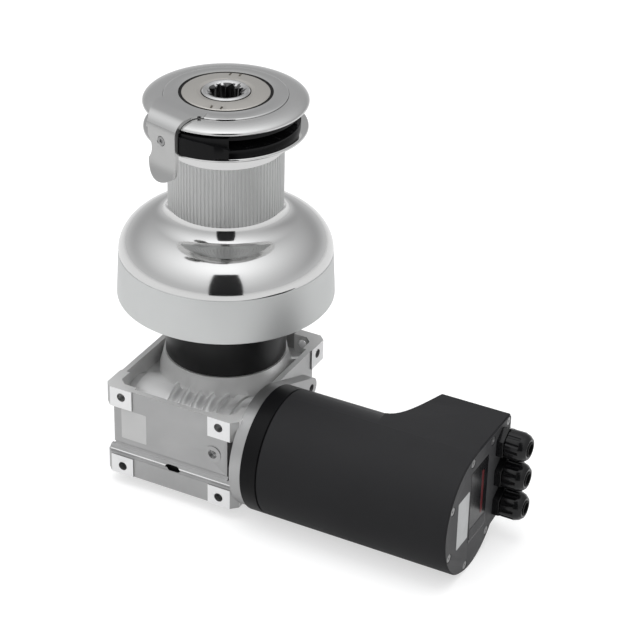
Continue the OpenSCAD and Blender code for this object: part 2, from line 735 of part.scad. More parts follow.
// One coil spring: rings of a round wire carried up a helix.
module coil_spring(r, wire, turns, h) {
  sides = 6;
  steps = turns * 12;
  rise = (h - 2 * wire) / steps;
  points = [for (i = [0 : steps], j = [0 : sides - 1])
    let (a = 30 * i, b = 360 / sides * j)
    [(r + wire * cos(b)) * cos(a), (r + wire * cos(b)) * sin(a), wire + rise * i + wire * sin(b)]];
  walls = [for (i = [0 : steps - 1], j = [0 : sides - 1])
    let (n = (j + 1) % sides)
    [i * sides + n, (i + 1) * sides + n, (i + 1) * sides + j, i * sides + j]];
  ends = [[for (j = [sides - 1 : -1 : 0]) j], [for (j = [0 : sides - 1]) steps * sides + j]];
  polyhedron(points, concat(walls, ends));
}

module jaw_springs() {
  floor_z = upper_ring_z + upper_ring_h - 2.2;
  color("silver") for (k = [0 : jaw_spring_count - 1]) rotate(360 / jaw_spring_count * k)
    translate([jaw_hub_r + 5, 0, floor_z]) coil_spring(2, 0.35, 3, crown_z - floor_z);
}

module crown() {
  rim = 3.2;
  color("silver") difference() {
    rotate_extrude() polygon(concat(
      [[stem_r + 1.5, crown_z]],
      [for (t = [-90 : 15 : -15]) [crown_r - rim + rim * cos(t), crown_edge_z + 2 * sin(t)]],
      [for (t = [90 : -7.5 : 0])
        [arm_disc_r + slide_gap + (crown_r - arm_disc_r - slide_gap) * sin(t),
         crown_edge_z + (crown_top_z - crown_edge_z) * cos(t)]],
      [[arm_disc_r + slide_gap, crown_z + crown_floor_t], [stem_r + 1.5, crown_z + crown_floor_t]]
    ));
    for (k = [0 : 5]) rotate(60 * k)
      translate([crown_screw_x, 0, crown_z - 1]) cylinder(r = crown_screw_r, h = 5);
  }
}

module crown_screws() {
  color("darkgray") for (k = [0 : 5]) rotate(60 * k)
    translate([crown_screw_x, 0, crown_z - crown_screw_depth])
      cylinder(r = crown_screw_r, h = crown_floor_t + crown_screw_depth);
}

module drive_spindle() {
  color("silver") difference() {
    union() {
      translate([0, 0, shaft_joint_z]) cylinder(r = spindle_r, h = head_foot_z - shaft_joint_z);
      translate([0, 0, head_foot_z]) cylinder(r = head_r, h = head_top_z - head_foot_z - 1);
      translate([0, 0, head_top_z - 1]) cylinder(r1 = head_r, r2 = head_r - 1, h = 1);
      translate([0, 0, gear_z]) linear_extrude(winch_gear_w)
        polygon(gear_points(winch_module, pinion_teeth, pinion_r - gear_root, pinion_r + winch_module, backlash));
    }
    for (a = [9, 54]) rotate(a) translate([0, 0, head_top_z - socket_depth / 2 + 0.5])
      cube([socket_square, socket_square, socket_depth + 1], center = true);
    translate([0, 0, head_top_z - 3.5]) cylinder(r1 = socket_square / 2, r2 = head_r - 2, h = 3.6);
  }
}

module idler_gear() {
  color("lightslategray") translate([idler_dist, 0, gear_z]) difference() {
    linear_extrude(winch_gear_w) rotate(180 / idler_teeth)
      polygon(gear_points(winch_module, idler_teeth, idler_r - gear_root, idler_r + winch_module, backlash));
    translate([0, 0, -1]) cylinder(r = idler_pin_r + run_gap, h = winch_gear_w + 2);
  }
}

module coupling_sleeve() {
  color("gray") difference() {
    translate([0, 0, shaft_joint_z - 14]) cylinder(r = spindle_r + 6, h = 28);
    translate([0, 0, shaft_joint_z - 15]) cylinder(r = drive_shaft_r, h = 16);
    translate([0, 0, shaft_joint_z]) cylinder(r = spindle_r, h = 16);
  }
}

module drive_shaft() {
  color("silver") difference() {
    translate([0, 0, cover_z + 1]) cylinder(r = drive_shaft_r, h = shaft_joint_z - cover_z - 1);
    translate([drive_shaft_r - 3, -3, worm_z - wheel_w / 2]) cube([6, 6, wheel_w]);
  }
}

module shaft_key() {
  color("darkgray") translate([drive_shaft_r - 3, -3, worm_z - wheel_w / 2]) cube([6, 6, wheel_w]);
}

module wheel_hub() {
  journal_low = low_bearing_z - 1;
  color("slategray") difference() {
    union() {
      translate([0, 0, journal_low]) cylinder(r = out_journal_r, h = hub_top_z - 2 - journal_low);
      translate([0, 0, worm_z - wheel_w / 2]) cylinder(r = wheel_r - 8, h = wheel_w);
    }
    translate([0, 0, journal_low - 1]) cylinder(r = drive_shaft_r, h = hub_top_z - journal_low);
    translate([drive_shaft_r - 3, -3, worm_z - wheel_w / 2]) cube([6, 6, wheel_w]);
  }
}

// Teeth of the worm wheel lean with the lead of the worm.
module worm_wheel() {
  tip = wheel_r + worm_module;
  root = wheel_r - gear_root;
  tooth = gear_points(worm_module, wheel_teeth, root - 1.5, tip + 0.5, worm_backlash);
  color("goldenrod") translate([0, 0, worm_z]) difference() {
    intersection() {
      union() {
        translate([0, 0, -wheel_w / 2]) cylinder(r = root, h = wheel_w);
        for (k = [0 : wheel_teeth - 1]) rotate(360 / wheel_teeth * k - 90)
          translate([wheel_r, 0, 0]) rotate([-lead_angle, 0, 0])
            linear_extrude(wheel_w + 8, center = true) translate([-wheel_r, 0])
              polygon([for (i = [0 : 9]) tooth[i]]);
      }
      translate([0, 0, -wheel_w / 2]) cylinder(r = tip, h = wheel_w);
    }
    translate([0, 0, -wheel_w]) cylinder(r = wheel_r - 8, h = 2 * wheel_w);
  }
}

// One start of the worm thread, along X: a trapezoid carried round the core.
module worm_thread(start) {
  steps = floor((worm_len - worm_module * 3) / worm_lead * 24);
  half_tip = worm_module * PI / 4 - worm_module * tan(20);
  inner = worm_root - 0.4;
  half_root = worm_module * PI / 4 + (worm_r - inner) * tan(20);
  section = [[-half_root, inner], [-half_tip, worm_tip], [half_tip, worm_tip], [half_root, inner]];
  shift = PI * worm_module * (start - 0.5);
  points = [for (i = [0 : steps], s = section)
    let (a = (i - floor(steps / 2)) * 15)
    [worm_lead * a / 360 + shift + s[0], s[1] * cos(a), s[1] * sin(a)]];
  walls = [for (i = [0 : steps - 1], j = [0 : 3])
    let (n = (j + 1) % 4)
    each [[(i + 1) * 4 + n, (i + 1) * 4 + j, i * 4 + j], [i * 4 + n, (i + 1) * 4 + n, i * 4 + j]]];
  polyhedron(points, concat(walls, [[3, 2, 1, 0], [steps * 4, steps * 4 + 1, steps * 4 + 2, steps * 4 + 3]]));
}

module worm_shaft() {
  left = left_bearing_x - 1;
  right = box_w / 2 + 4;
  color("darkgray") difference() {
    union() {
      along_x(left, worm_y, worm_z) cylinder(r = worm_journal_r, h = right - left);
      along_x(left_bearing_x + worm_bearing_w + slide_gap, worm_y, worm_z)
        cylinder(r = worm_root, h = right_bearing_x - left_bearing_x - worm_bearing_w - 2 * slide_gap);
      for (start = [0 : worm_starts - 1]) translate([0, worm_y, worm_z]) worm_thread(start);
    }
    along_x(right - 22, worm_y, worm_z) cylinder(r = motor_shaft_r, h = 30);
  }
}
module spacer_column() {
  color("black") difference() {
    translate([0, 0, hub_top_z]) tube(spacer_r, spacer_in, spacer_h);
    for (k = [0 : 3]) rotate(90 * k + 45)
      translate([stud_circle, 0, hub_top_z - 1]) cylinder(r = stud_r + 0.2, h = spacer_h + 2);
  }
}

module spacer_studs() {
  color("silver") for (k = [0 : 3]) rotate(90 * k + 45)
    translate([stud_circle, 0, hub_top_z - 9]) cylinder(r = stud_r, h = spacer_h + 9 + base_h - 2.5);
}

// Plan of the gearbox with its corners chamfered, drawn back from the pads by an inset.
module box_plan(inset_x, inset_y) {
  x = box_w / 2 - inset_x;
  y = box_d / 2 - inset_y;
  c = box_chamfer;
  translate([0, box_y]) polygon([
    [c - x, -y], [x - c, -y], [x, c - y], [x, y - c], [x - c, y], [c - x, y], [-x, y - c], [-x, c - y]
  ]);
}

module box_block(z, h, inset_x, inset_y) {
  translate([0, 0, z]) linear_extrude(h) box_plan(inset_x, inset_y);
}

// Machined pads at the four corners of each side face.
module corner_pads(z) {
  for (sx = [-1, 1], sy = [-1, 1]) intersection() {
    box_block(z, frame_h, 0, 0);
    union() {
      translate([sx * (box_w / 2 - pad_w / 2), box_y + sy * (box_d / 2 - 5), z + frame_h / 2])
        cube([pad_w, 10, frame_h], center = true);
      translate([sx * (box_w / 2 - 5), box_y + sy * (box_d / 2 - pad_w / 2), z + frame_h / 2])
        cube([10, pad_w, frame_h], center = true);
    }
  }
}

module pad_holes() {
  depth = 10;
  for (sz = [-1, 1]) translate([0, 0, worm_z + sz * pad_hole_z / 2]) {
    for (sx = [-1, 1], side = [[-1, pad_hole_x], [1, back_hole_x]])
      translate([sx * side[1] / 2, box_y + side[0] * (box_d / 2 - depth / 2 + 1), 0])
        rotate([90, 0, 0]) cylinder(r = pad_hole_d / 2, h = depth + 2, center = true);
    for (place = [[-1, -left_hole_y], [-1, left_hole_y], [1, box_d - 2 * side_hole_in]])
      translate([place[0] * (box_w / 2 - depth / 2 + 1), box_y + place[1] / 2, 0])
        rotate([0, 90, 0]) cylinder(r = pad_hole_d / 2, h = depth + 2, center = true);
  }
}

// The hub, the worm tube and its cross ribs, as they stand up inside the upper frame.
module housing_core() {
  translate([0, 0, recess_z - 2]) cylinder(r = hub_foot_r, h = 8);
  translate([0, 0, recess_z + 6]) cylinder(r1 = hub_foot_r, r2 = spacer_r + 1, h = hub_top_z - recess_z - 7);
  translate([0, 0, hub_top_z - 1.5]) cylinder(r = spacer_r + 1, h = 1.5);
  along_x(rim_wall - box_w / 2, worm_y, worm_z) cylinder(r = worm_tube_r - 3, h = box_w - 2 * rim_wall);
  along_x(2 * rim_wall - box_w / 2 + 4, worm_y, worm_z) cylinder(r = worm_tube_r, h = box_w - 4 * rim_wall - 4);
}

// Cross ribs round the worm tube, with a hollow of round section between each two.
module cross_ribs() {
  rib_r = worm_tube_r + 3.4;
  hollow_r = 0.47 * rib_pitch;
  first_x = rib_mid_x - (rib_plates - 1) / 2 * rib_pitch;
  difference() {
    along_x(first_x - 1.4, worm_y, worm_z) cylinder(r = rib_r, h = (rib_plates - 1) * rib_pitch + 2.8);
    for (k = [0 : rib_plates - 2]) along_x(first_x + (k + 0.5) * rib_pitch, worm_y, worm_z)
      rotate_extrude() translate([rib_r + 1, 0]) circle(r = hollow_r, $fn = 48);
  }
  along_x(first_x + (rib_plates - 1) * rib_pitch + 6, worm_y, worm_z) cylinder(r = rib_r - 0.8, h = 5.5);
  along_x(first_x + (rib_plates - 1) * rib_pitch + 14, worm_y, worm_z) cylinder(r = rib_r - 0.8, h = 6);
}

// Thin webs that tie the hub to the rim of the upper frame.
module frame_webs() {
  for (a = [35, 145, 90, 8, 172]) rotate(a) translate([0, -1.5, recess_z - 1])
    cube([box_w, 3, 7.5]);
  for (y = [-20, -14]) translate([hub_foot_r - 8, y, recess_z - 1]) cube([20, 2.2, 10.5]);
}

module upper_recess() {
  difference() {
    union() {
      box_block(recess_z, frame_h, pad_lift + rim_wall + 2.6, pad_lift + rim_wall + 2.6);
      intersection() {
        box_block(recess_z, frame_h, pad_lift + rim_wall, pad_lift + rim_wall);
        union() {
          translate([0, box_y, recess_z + frame_h / 2]) cube([box_w - 2 * pad_w, box_d, frame_h], center = true);
          translate([0, box_y, recess_z + frame_h / 2]) cube([box_w, box_d - 2 * pad_w, frame_h], center = true);
        }
      }
    }
    housing_core();
    cross_ribs();
    frame_webs();
  }
}

module motor_flange() {
  ear_y = 62;
  along_x(box_w / 2 - pad_lift, worm_y, worm_z) difference() {
    linear_extrude(flange_face - box_w / 2 + pad_lift) hull() {
      circle(r = motor_r - 1.5);
      translate([-15, ear_y]) circle(r = 8, $fn = 32);
      translate([-18, centre_distance - box_front + 6]) circle(r = 6, $fn = 32);
    }
    translate([-15, ear_y, -1]) cylinder(r = 3.3, h = 20);
  }
}

module gearbox_housing() {
  waist_z = box_bot_z + frame_h;
  waist_h = box_h - 2 * frame_h;
  front = -box_front;
  color("lightgray") difference() {
    union() {
      difference() {
        union() {
          box_block(box_bot_z, frame_h, pad_lift, pad_lift);
          box_block(box_top_z - frame_h, frame_h, pad_lift, pad_lift);
          corner_pads(box_bot_z);
          corner_pads(box_top_z - frame_h);
          translate([0, (front + pad_lift + box_y + box_d / 2 - waist_inset) / 2, waist_z + waist_h / 2])
            cube([box_w - 2 * waist_inset, box_d - waist_inset - pad_lift, waist_h + 1], center = true);
          hull() {
            box_block(waist_z - 0.5, 0.5, pad_lift, pad_lift);
            translate([0, (front + pad_lift + box_y + box_d / 2 - waist_inset) / 2, waist_z + 6.5])
              cube([box_w - 2 * waist_inset, box_d - waist_inset - pad_lift, 1], center = true);
          }
          along_x(-box_w / 2 + 4, front + 3, waist_z + 4) cylinder(r = 3, h = box_w - 8);
        }
        upper_recess();
        along_x(-box_w, front + 0.6, waist_z + 0.6) cylinder(r = 1.4, h = 2 * box_w);
        along_x(-box_w, front + 0.4, waist_z + 9) cylinder(r = 2, h = 2 * box_w);
      }
      difference() {
        housing_core();
        translate([0, 0, box_bot_z - 40]) cylinder(r = 2 * box_d, h = 40);
      }
      along_x(-box_w / 2 + 1, worm_y, worm_z) cylinder(r = worm_bearing_r + 5, h = 20);
      motor_flange();
      translate([pad_hole_x / 2 - 5, front + 4, worm_z + 5.5]) rotate([90, 0, 0]) cylinder(r = 6.5, h = 3.6);
    }
    pad_holes();
    translate([2, front + 1, waist_z + 2.5]) rotate([90, 0, 0]) hull() {
      translate([-3, 0, 0]) cylinder(r = 3, h = 6, center = true, $fn = 32);
      translate([3, 0, 0]) cylinder(r = 3, h = 6, center = true, $fn = 32);
    }
    translate([pad_hole_x / 2 - 5, front - 1, worm_z + 5.5]) rotate([-90, 0, 0]) cylinder(r = 3.4, h = 16);
    // Output side: seal, bearing and wheel chamber
    translate([0, 0, hub_top_z - 2 - out_seal_w]) cylinder(r = out_seal_r, h = out_seal_w + 3);
    translate([0, 0, high_bearing_z - 1]) cylinder(r = out_bearing_r - 3, h = out_bearing_w + 4);
    translate([0, 0, high_bearing_z]) cylinder(r = out_bearing_r, h = out_bearing_w);
    translate([0, 0, cover_z - 1]) cylinder(r = chamber_r, h = high_bearing_z - cover_z + 1);
    translate([0, 0, box_bot_z - 1]) cylinder(r = chamber_r + 8, h = bottom_recess + 1);
    // Worm side: bearing seats, seal seat and worm tunnel
    along_x(left_bearing_x, worm_y, worm_z) cylinder(r = worm_bearing_r, h = worm_bearing_w);
    along_x(-box_w, worm_y, worm_z) cylinder(r = worm_bearing_r, h = box_w + left_bearing_x + 1);
    along_x(left_bearing_x, worm_y, worm_z) cylinder(r = worm_tip + 2, h = right_bearing_x - left_bearing_x + 1);
    along_x(right_bearing_x, worm_y, worm_z) cylinder(r = worm_bearing_r, h = box_w);
    // Studs, cover screws and flange bolts
    for (k = [0 : 3]) rotate(90 * k + 45)
      translate([stud_circle, 0, hub_top_z - 9]) cylinder(r = stud_r, h = 12);
    for (k = [0 : 5]) rotate(60 * k + 30)
      translate([chamber_r + 4, 0, cover_z - 1]) cylinder(r = 2, h = 11);
    for (k = [0 : 3]) translate([flange_face - 10, worm_y, worm_z]) rotate([45 + 90 * k, 0, 0])
      translate([0, 0, bell_bolt_r]) along_x(0, 0, 0) cylinder(r = 2.5, h = 12);
  }
}

module gearbox_cover() {
  color("lightgray") translate([0, 0, box_bot_z]) difference() {
    union() {
      translate([0, 0, 1]) cylinder(r = chamber_r + 7.6, h = bottom_recess - 1.6);
      translate([0, 0, bottom_recess - 1]) cylinder(r = out_bearing_r + 4, h = low_bearing_z + out_bearing_w - cover_z);
    }
    translate([0, 0, low_bearing_z - box_bot_z]) cylinder(r = out_bearing_r, h = 2 * out_bearing_w);
    translate([0, 0, 4]) cylinder(r = out_journal_r + 6, h = 20);
    translate([0, 0, -1]) cylinder(r = out_journal_r, h = 4);
    for (k = [0 : 5]) rotate(60 * k + 30)
      translate([chamber_r + 4, 0, -1]) cylinder(r = 2.2, h = 10);
  }
}

module cover_gasket() {
  color("darkgreen") translate([0, 0, cover_z - 0.6]) difference() {
    tube(chamber_r + 7.6, chamber_r - 1, 0.6);
    for (k = [0 : 5]) rotate(60 * k + 30) translate([chamber_r + 4, 0, -1]) cylinder(r = 2.2, h = 3);
  }
}

module cover_screws() {
  color("darkgray") for (k = [0 : 5]) rotate(60 * k + 30)
    translate([chamber_r + 4, 0, box_bot_z + 1]) rotate([180, 0, 0]) cap_screw(2, 3.6, 1.6, bottom_recess + 7);
}

module oil_plug() {
  color([0.3, 0.3, 0.3]) translate([pad_hole_x / 2 - 5, -box_front + 3, worm_z + 5.5]) rotate([-90, 0, 0])
    difference() {
      cylinder(r = 3.4, h = 9);
      translate([0, 0, -1]) cylinder(r = 2, h = 4, $fn = 6);
    }
}

module output_bearings() {
  color("lightsteelblue") for (z = [low_bearing_z, high_bearing_z]) translate([0, 0, z])
    ball_bearing(out_journal_r + run_gap, out_bearing_r, out_bearing_w, 11);
}

module output_seal() {
  color("saddlebrown") translate([0, 0, hub_top_z - 2 - out_seal_w])
    tube(out_seal_r, out_journal_r + run_gap, out_seal_w);
}

module worm_bearings() {
  color("lightsteelblue") for (x = [left_bearing_x, right_bearing_x]) along_x(x, worm_y, worm_z)
    ball_bearing(worm_journal_r + run_gap, worm_bearing_r, worm_bearing_w, 8);
}

module worm_seal() {
  color("saddlebrown") along_x(right_bearing_x + worm_bearing_w, worm_y, worm_z)
    tube(worm_bearing_r, worm_journal_r + run_gap, worm_seal_w);
}

module worm_end_cap() {
  color([0.1, 0.1, 0.1]) along_x(left_bearing_x - 6, worm_y, worm_z) difference() {
    cylinder(r = worm_bearing_r, h = 4.5);
    translate([0, 0, -1]) cylinder(r = worm_bearing_r - 4, h = 2.5);
  }
}

module motor_bell() {
  seat = bell_x + 2;
  color([0.08, 0.08, 0.08]) difference() {
    union() {
      along_x(bell_x, worm_y, worm_z) cylinder(r = motor_r, h = bell_l - 1.2);
      along_x(bell_x, worm_y, worm_z) cylinder(r = motor_r - 1.2, h = bell_l);
      along_x(case_x, worm_y, worm_z) cylinder(r = case_in, h = spigot_l);
    }
    along_x(bell_x - 1, worm_y, worm_z) cylinder(r = motor_journal_r + 1, h = 30);
    along_x(seat, worm_y, worm_z) cylinder(r = motor_bearing_r, h = 30);
    for (k = [0 : 3]) translate([bell_x - 1, worm_y, worm_z]) rotate([45 + 90 * k, 0, 0])
      translate([0, 0, bell_bolt_r]) along_x(0, 0, 0) cylinder(r = 2.7, h = 30);
  }
}

module bell_bolts() {
  color("darkgray") for (k = [0 : 3]) translate([case_x + spigot_l, worm_y, worm_z]) rotate([45 + 90 * k, 0, 0])
    translate([0, 0, bell_bolt_r]) rotate([0, 90, 0]) cap_screw(2.5, 4, bolt_head_h, bell_l + 12);
}

// Plan and end profile of the controller box on the far side of the motor.
// Plan of the controller box: its front edge swings out from the motor in one soft curve.
module ctrl_plan(inset) {
  reach = ctrl_reach - inset;
  front = ctrl_x + inset;
  polygon(concat(
    [for (t = [0 : 0.1 : 1])
      curve_point([front - 24, 15], [front - 13, 17.5], [front - 8, 34], [front + 0.5, reach], t)],
    [[motor_end, reach], [motor_end, 0], [front - 24, 0]]
  ));
}

module ctrl_profile(inset) {
  reach = ctrl_reach - inset;
  low = ctrl_low - inset;
  round_r = 3;
  polygon(concat(
    [[0, motor_r - inset]],
    [for (t = [90 : -15 : 0]) [reach - round_r + round_r * cos(t), motor_r - inset - round_r + round_r * sin(t)]],
    [for (t = [0 : -15 : -90]) [reach - round_r + round_r * cos(t), -low + round_r + round_r * sin(t)]],
    [for (t = [0 : 15 : 60]) [reach - 22 - 20 * sin(t), -low - 2 - 14 * (1 - cos(t))]],
    [[0, -motor_r + 6 + inset]]
  ));
}

module motor_outline_solid(inset, x0, l) {
  translate([x0, worm_y, worm_z]) rotate([90, 0, 90]) linear_extrude(l) ctrl_profile(inset);
}

module motor_case() {
  color([0.1, 0.1, 0.11]) difference() {
    union() {
      along_x(case_x, worm_y, worm_z) cylinder(r = motor_r, h = plate_x - case_x);
      intersection() {
        motor_outline_solid(0, ctrl_x - 26, plate_x - ctrl_x + 26);
        translate([0, worm_y, worm_z - 60]) linear_extrude(120) ctrl_plan(0);
      }
    }
    along_x(case_x - 1, worm_y, worm_z) cylinder(r = case_in, h = plate_x);
    intersection() {
      motor_outline_solid(motor_wall, ctrl_x, motor_end - ctrl_x);
      translate([0, worm_y, worm_z - 60]) linear_extrude(120) ctrl_plan(motor_wall);
    }
    for (p = plate_screw_places()) translate([plate_x - plate_lug_l, worm_y + p[0], worm_z + p[1]])
      rotate([0, 90, 0]) cylinder(r = plate_screw_r, h = 20);
  }
  // Lugs inside the case that take the end plate screws
  color([0.1, 0.1, 0.11]) for (p = plate_screw_places())
    translate([plate_x - plate_lug_l, worm_y + p[0], worm_z + p[1]]) rotate([0, 90, 0]) tube(3.4, plate_screw_r, plate_lug_l);
}

// Screws of the end plate, measured from the motor axis in Y and Z.
function plate_screw_places() = concat(
  [for (a = [97, 150, 203, 257, 308]) plate_screw_circle * [cos(a), sin(a)]],
  [[28, motor_r - 5.8], [ctrl_reach - 4.5, motor_r - 4.8]]
);

module end_plate() {
  color([0.3, 0.3, 0.3]) difference() {
    union() {
      along_x(plate_x, worm_y, worm_z) cylinder(r = motor_r, h = end_plate_t - 1);
      along_x(motor_end - 1, worm_y, worm_z) cylinder(r1 = motor_r, r2 = motor_r - 1, h = 1);
      motor_outline_solid(0, plate_x, end_plate_t - 1);
      motor_outline_solid(0.8, motor_end - 1, 1);
    }
    for (k = [0 : gland_count - 1])
      along_x(plate_x - 1, worm_y + gland_out, worm_z + gland_top - k * gland_pitch)
        cylinder(r = gland_thread_r, h = end_plate_t + 2);
    for (p = plate_screw_places()) {
      along_x(plate_x - 1, worm_y + p[0], worm_z + p[1]) cylinder(r = 1.6, h = end_plate_t + 2);
      along_x(motor_end - 1.8, worm_y + p[0], worm_z + p[1]) cylinder(r1 = 1.6, r2 = 3.4, h = 1.81);
    }
  }
}

module end_plate_screws() {
  color("silver") for (p = plate_screw_places()) translate([motor_end, worm_y + p[0], worm_z + p[1]])
    rotate([0, 90, 0]) difference() {
      union() {
        translate([0, 0, -1.8]) cylinder(r1 = plate_screw_r, r2 = 3.1, h = 1.6);
        translate([0, 0, -end_plate_t - plate_lug_l]) cylinder(r = plate_screw_r, h = end_plate_t + plate_lug_l - 1.7);
      }
      translate([0, 0, -1]) cylinder(r = 1.1, h = 2, $fn = 6);
    }
}

module motor_magnets() {
  color("dimgray") for (k = [0 : 3]) along_x(armature_x - 2, worm_y, worm_z)
    rotate(90 * k + 10) rotate_extrude(angle = 70)
      translate([magnet_bore_r, 0]) square([case_in - magnet_bore_r, armature_l + 4]);
}

module armature_shaft() {
  tail = rear_seat_x;
  color("silver") {
    along_x(box_w / 2 - 17, worm_y, worm_z) cylinder(r = motor_shaft_r, h = bell_x + 1 - box_w / 2 + 17);
    along_x(bell_x + 1, worm_y, worm_z) cylinder(r = motor_journal_r, h = tail - bell_x - 1);
  }
}

module armature_core() {
  slots = 12;
  color("sienna") {
    along_x(armature_x, worm_y, worm_z) difference() {
      cylinder(r = armature_r, h = armature_l);
      translate([0, 0, -1]) cylinder(r = motor_journal_r, h = armature_l + 2);
      for (k = [0 : slots - 1]) rotate(360 / slots * k) translate([armature_r - 9, -1.5, -1])
        cube([12, 3, armature_l + 2]);
    }
  }
}

module armature_windings() {
  color("peru") for (x = [armature_x - winding_l, armature_x + armature_l])
    along_x(x, worm_y, worm_z) tube(armature_r - 3, motor_journal_r, winding_l);
}

module commutator() {
  bars = 16;
  color("peru") along_x(commutator_x, worm_y, worm_z) difference() {
    tube(commutator_r, motor_journal_r, commutator_l);
    for (k = [0 : bars - 1]) rotate(360 / bars * k) translate([commutator_r - 1, -0.3, -1])
      cube([4, 0.6, commutator_l + 2]);
  }
}

// A plate with two brush boxes, and a carbon brush that slides in each box.
module brush_holder() {
  wall = 2;
  fit = 0.1;
  brush_t = 8;
  brush_l = 14;
  box_l = brush_w + fit + wall;
  box_x = brush_plate_x - box_l;
  color("black") {
    along_x(brush_plate_x, worm_y, worm_z) tube(case_in, motor_bearing_r + 1, brush_plate_t);
    for (k = [0 : 1]) translate([box_x, worm_y, worm_z]) rotate([180 * k, 0, 0]) {
      translate([0, -brush_t / 2 - wall, commutator_r + 4]) difference() {
        cube([box_l, brush_t + 2 * wall, brush_l]);
        translate([-1, wall - fit, -1]) cube([brush_w + fit + 1, brush_t + 2 * fit, brush_l - 1]);
      }
      translate([0, -brush_t / 2, commutator_r + run_gap]) cube([brush_w, brush_t, brush_l]);
    }
  }
}

module motor_bearings() {
  color("lightsteelblue") for (x = [bell_x + 2, rear_seat_x - motor_bearing_w]) along_x(x, worm_y, worm_z)
    ball_bearing(motor_journal_r + run_gap, motor_bearing_r, motor_bearing_w, 8);
}

module rear_bearing_plate() {
  color([0.2, 0.2, 0.2]) along_x(rear_plate_x, worm_y, worm_z) difference() {
    cylinder(r = case_in, h = motor_bearing_w + rear_wall_t);
    translate([0, 0, rear_wall_t]) cylinder(r = motor_bearing_r, h = 30);
    translate([0, 0, -1]) cylinder(r = motor_bearing_r - 4, h = 30);
    difference() {
      translate([0, 0, -1]) cylinder(r = case_in - 3, h = motor_bearing_w - 2);
      translate([0, 0, -2]) cylinder(r = motor_bearing_r + 4, h = 30);
    }
  }
}

// Circuit board of the controller on four standoffs from the far wall, with its power parts.
module controller_board() {
  board_t = 1.6;
  standoff = 3;
  board_l = plate_x - ctrl_x - 14;
  board_h = ctrl_low + motor_r - 24;
  chips = [[4, 14, 9, 9], [18, 12, 6, 12], [6, 30, 14, 5]];
  color("darkgreen") translate([ctrl_x + 8, worm_y + ctrl_reach - motor_wall, worm_z - ctrl_low + 10]) {
    translate([0, -standoff - board_t, 0]) cube([board_l, board_t, board_h]);
    for (x = [3, board_l - 3], z = [3, board_h - 3]) translate([x, 0, z])
      rotate([90, 0, 0]) cylinder(r = 2, h = standoff);
    for (c = chips) translate([c[0], -standoff - board_t - 4, c[1]]) cube([c[2], 4, c[3]]);
  }
}

// One gland: stub, hexagon and barrel along +X.
module gland_body() {
  difference() {
    union() {
      translate([0, 0, -end_plate_t - 2]) cylinder(r = gland_thread_r, h = end_plate_t + 4);
      cylinder(r = 12, h = 5, $fn = 6);
      translate([0, 0, 4]) cylinder(r = 8.4, h = 11);
    }
    translate([0, 0, -20]) cylinder(r = 6.4, h = 60);
  }
}

module gland_cap() {
  flutes = 12;
  difference() {
    rotate_extrude() polygon([
      [8.4 + run_gap, 5.6], [10.6, 5.6], [10.6, 15], [9.4, 18.5], [7.4, 20.8], [5.6, 20.8], [8.4 + run_gap, 15.4]
    ]);
    for (k = [0 : flutes - 1]) rotate(360 / flutes * k) translate([11.4, 0, 5])
      cylinder(r = 1.5, h = 10.5);
  }
}

module at_glands() {
  for (k = [0 : gland_count - 1])
    along_x(motor_end, worm_y + gland_out, worm_z + gland_top - k * gland_pitch) children();
}

module gland_bodies() { color([0.05, 0.05, 0.05]) at_glands() gland_body(); }
module gland_caps() { color([0.05, 0.05, 0.05]) at_glands() gland_cap(); }
module gland_seals() {
  color([0.12, 0.12, 0.12]) at_glands() difference() {
    rotate_extrude() polygon([
      [gland_bore_r, 8], [6.4, 8], [6.4, 16], [5.5, 21.4], [gland_bore_r, 21.4]
    ]);
  }
}

winch_base();
centre_stem();
stem_bushes();
thrust_washer();
idler_pin();
bearing_spacer();
self_tailing_arm();
line_stripper();
arm_screw();
top_cap();
top_seal();
drum();
drum_skirt();
ring_gear();
ring_gear_screws();
lower_jaw_flange();
lower_jaw_ring();
crown();
crown_screws();
jaw_springs();
upper_jaw_ring();
lower_roller_bearing();
upper_roller_bearing();
drive_spindle();
coupling_sleeve();
drive_shaft();
shaft_key();
wheel_hub();
worm_wheel();
idler_gear();
spacer_column();
spacer_studs();
gearbox_housing();
gearbox_cover();
cover_screws();
cover_gasket();
oil_plug();
output_bearings();
output_seal();
worm_bearings();
worm_seal();
worm_end_cap();
worm_shaft();
armature_shaft();
armature_core();
armature_windings();
commutator();
motor_bell();
bell_bolts();
motor_case();
motor_magnets();
brush_holder();
motor_bearings();
rear_bearing_plate();
controller_board();
end_plate();
end_plate_screws();
gland_bodies();
gland_caps();
gland_seals();
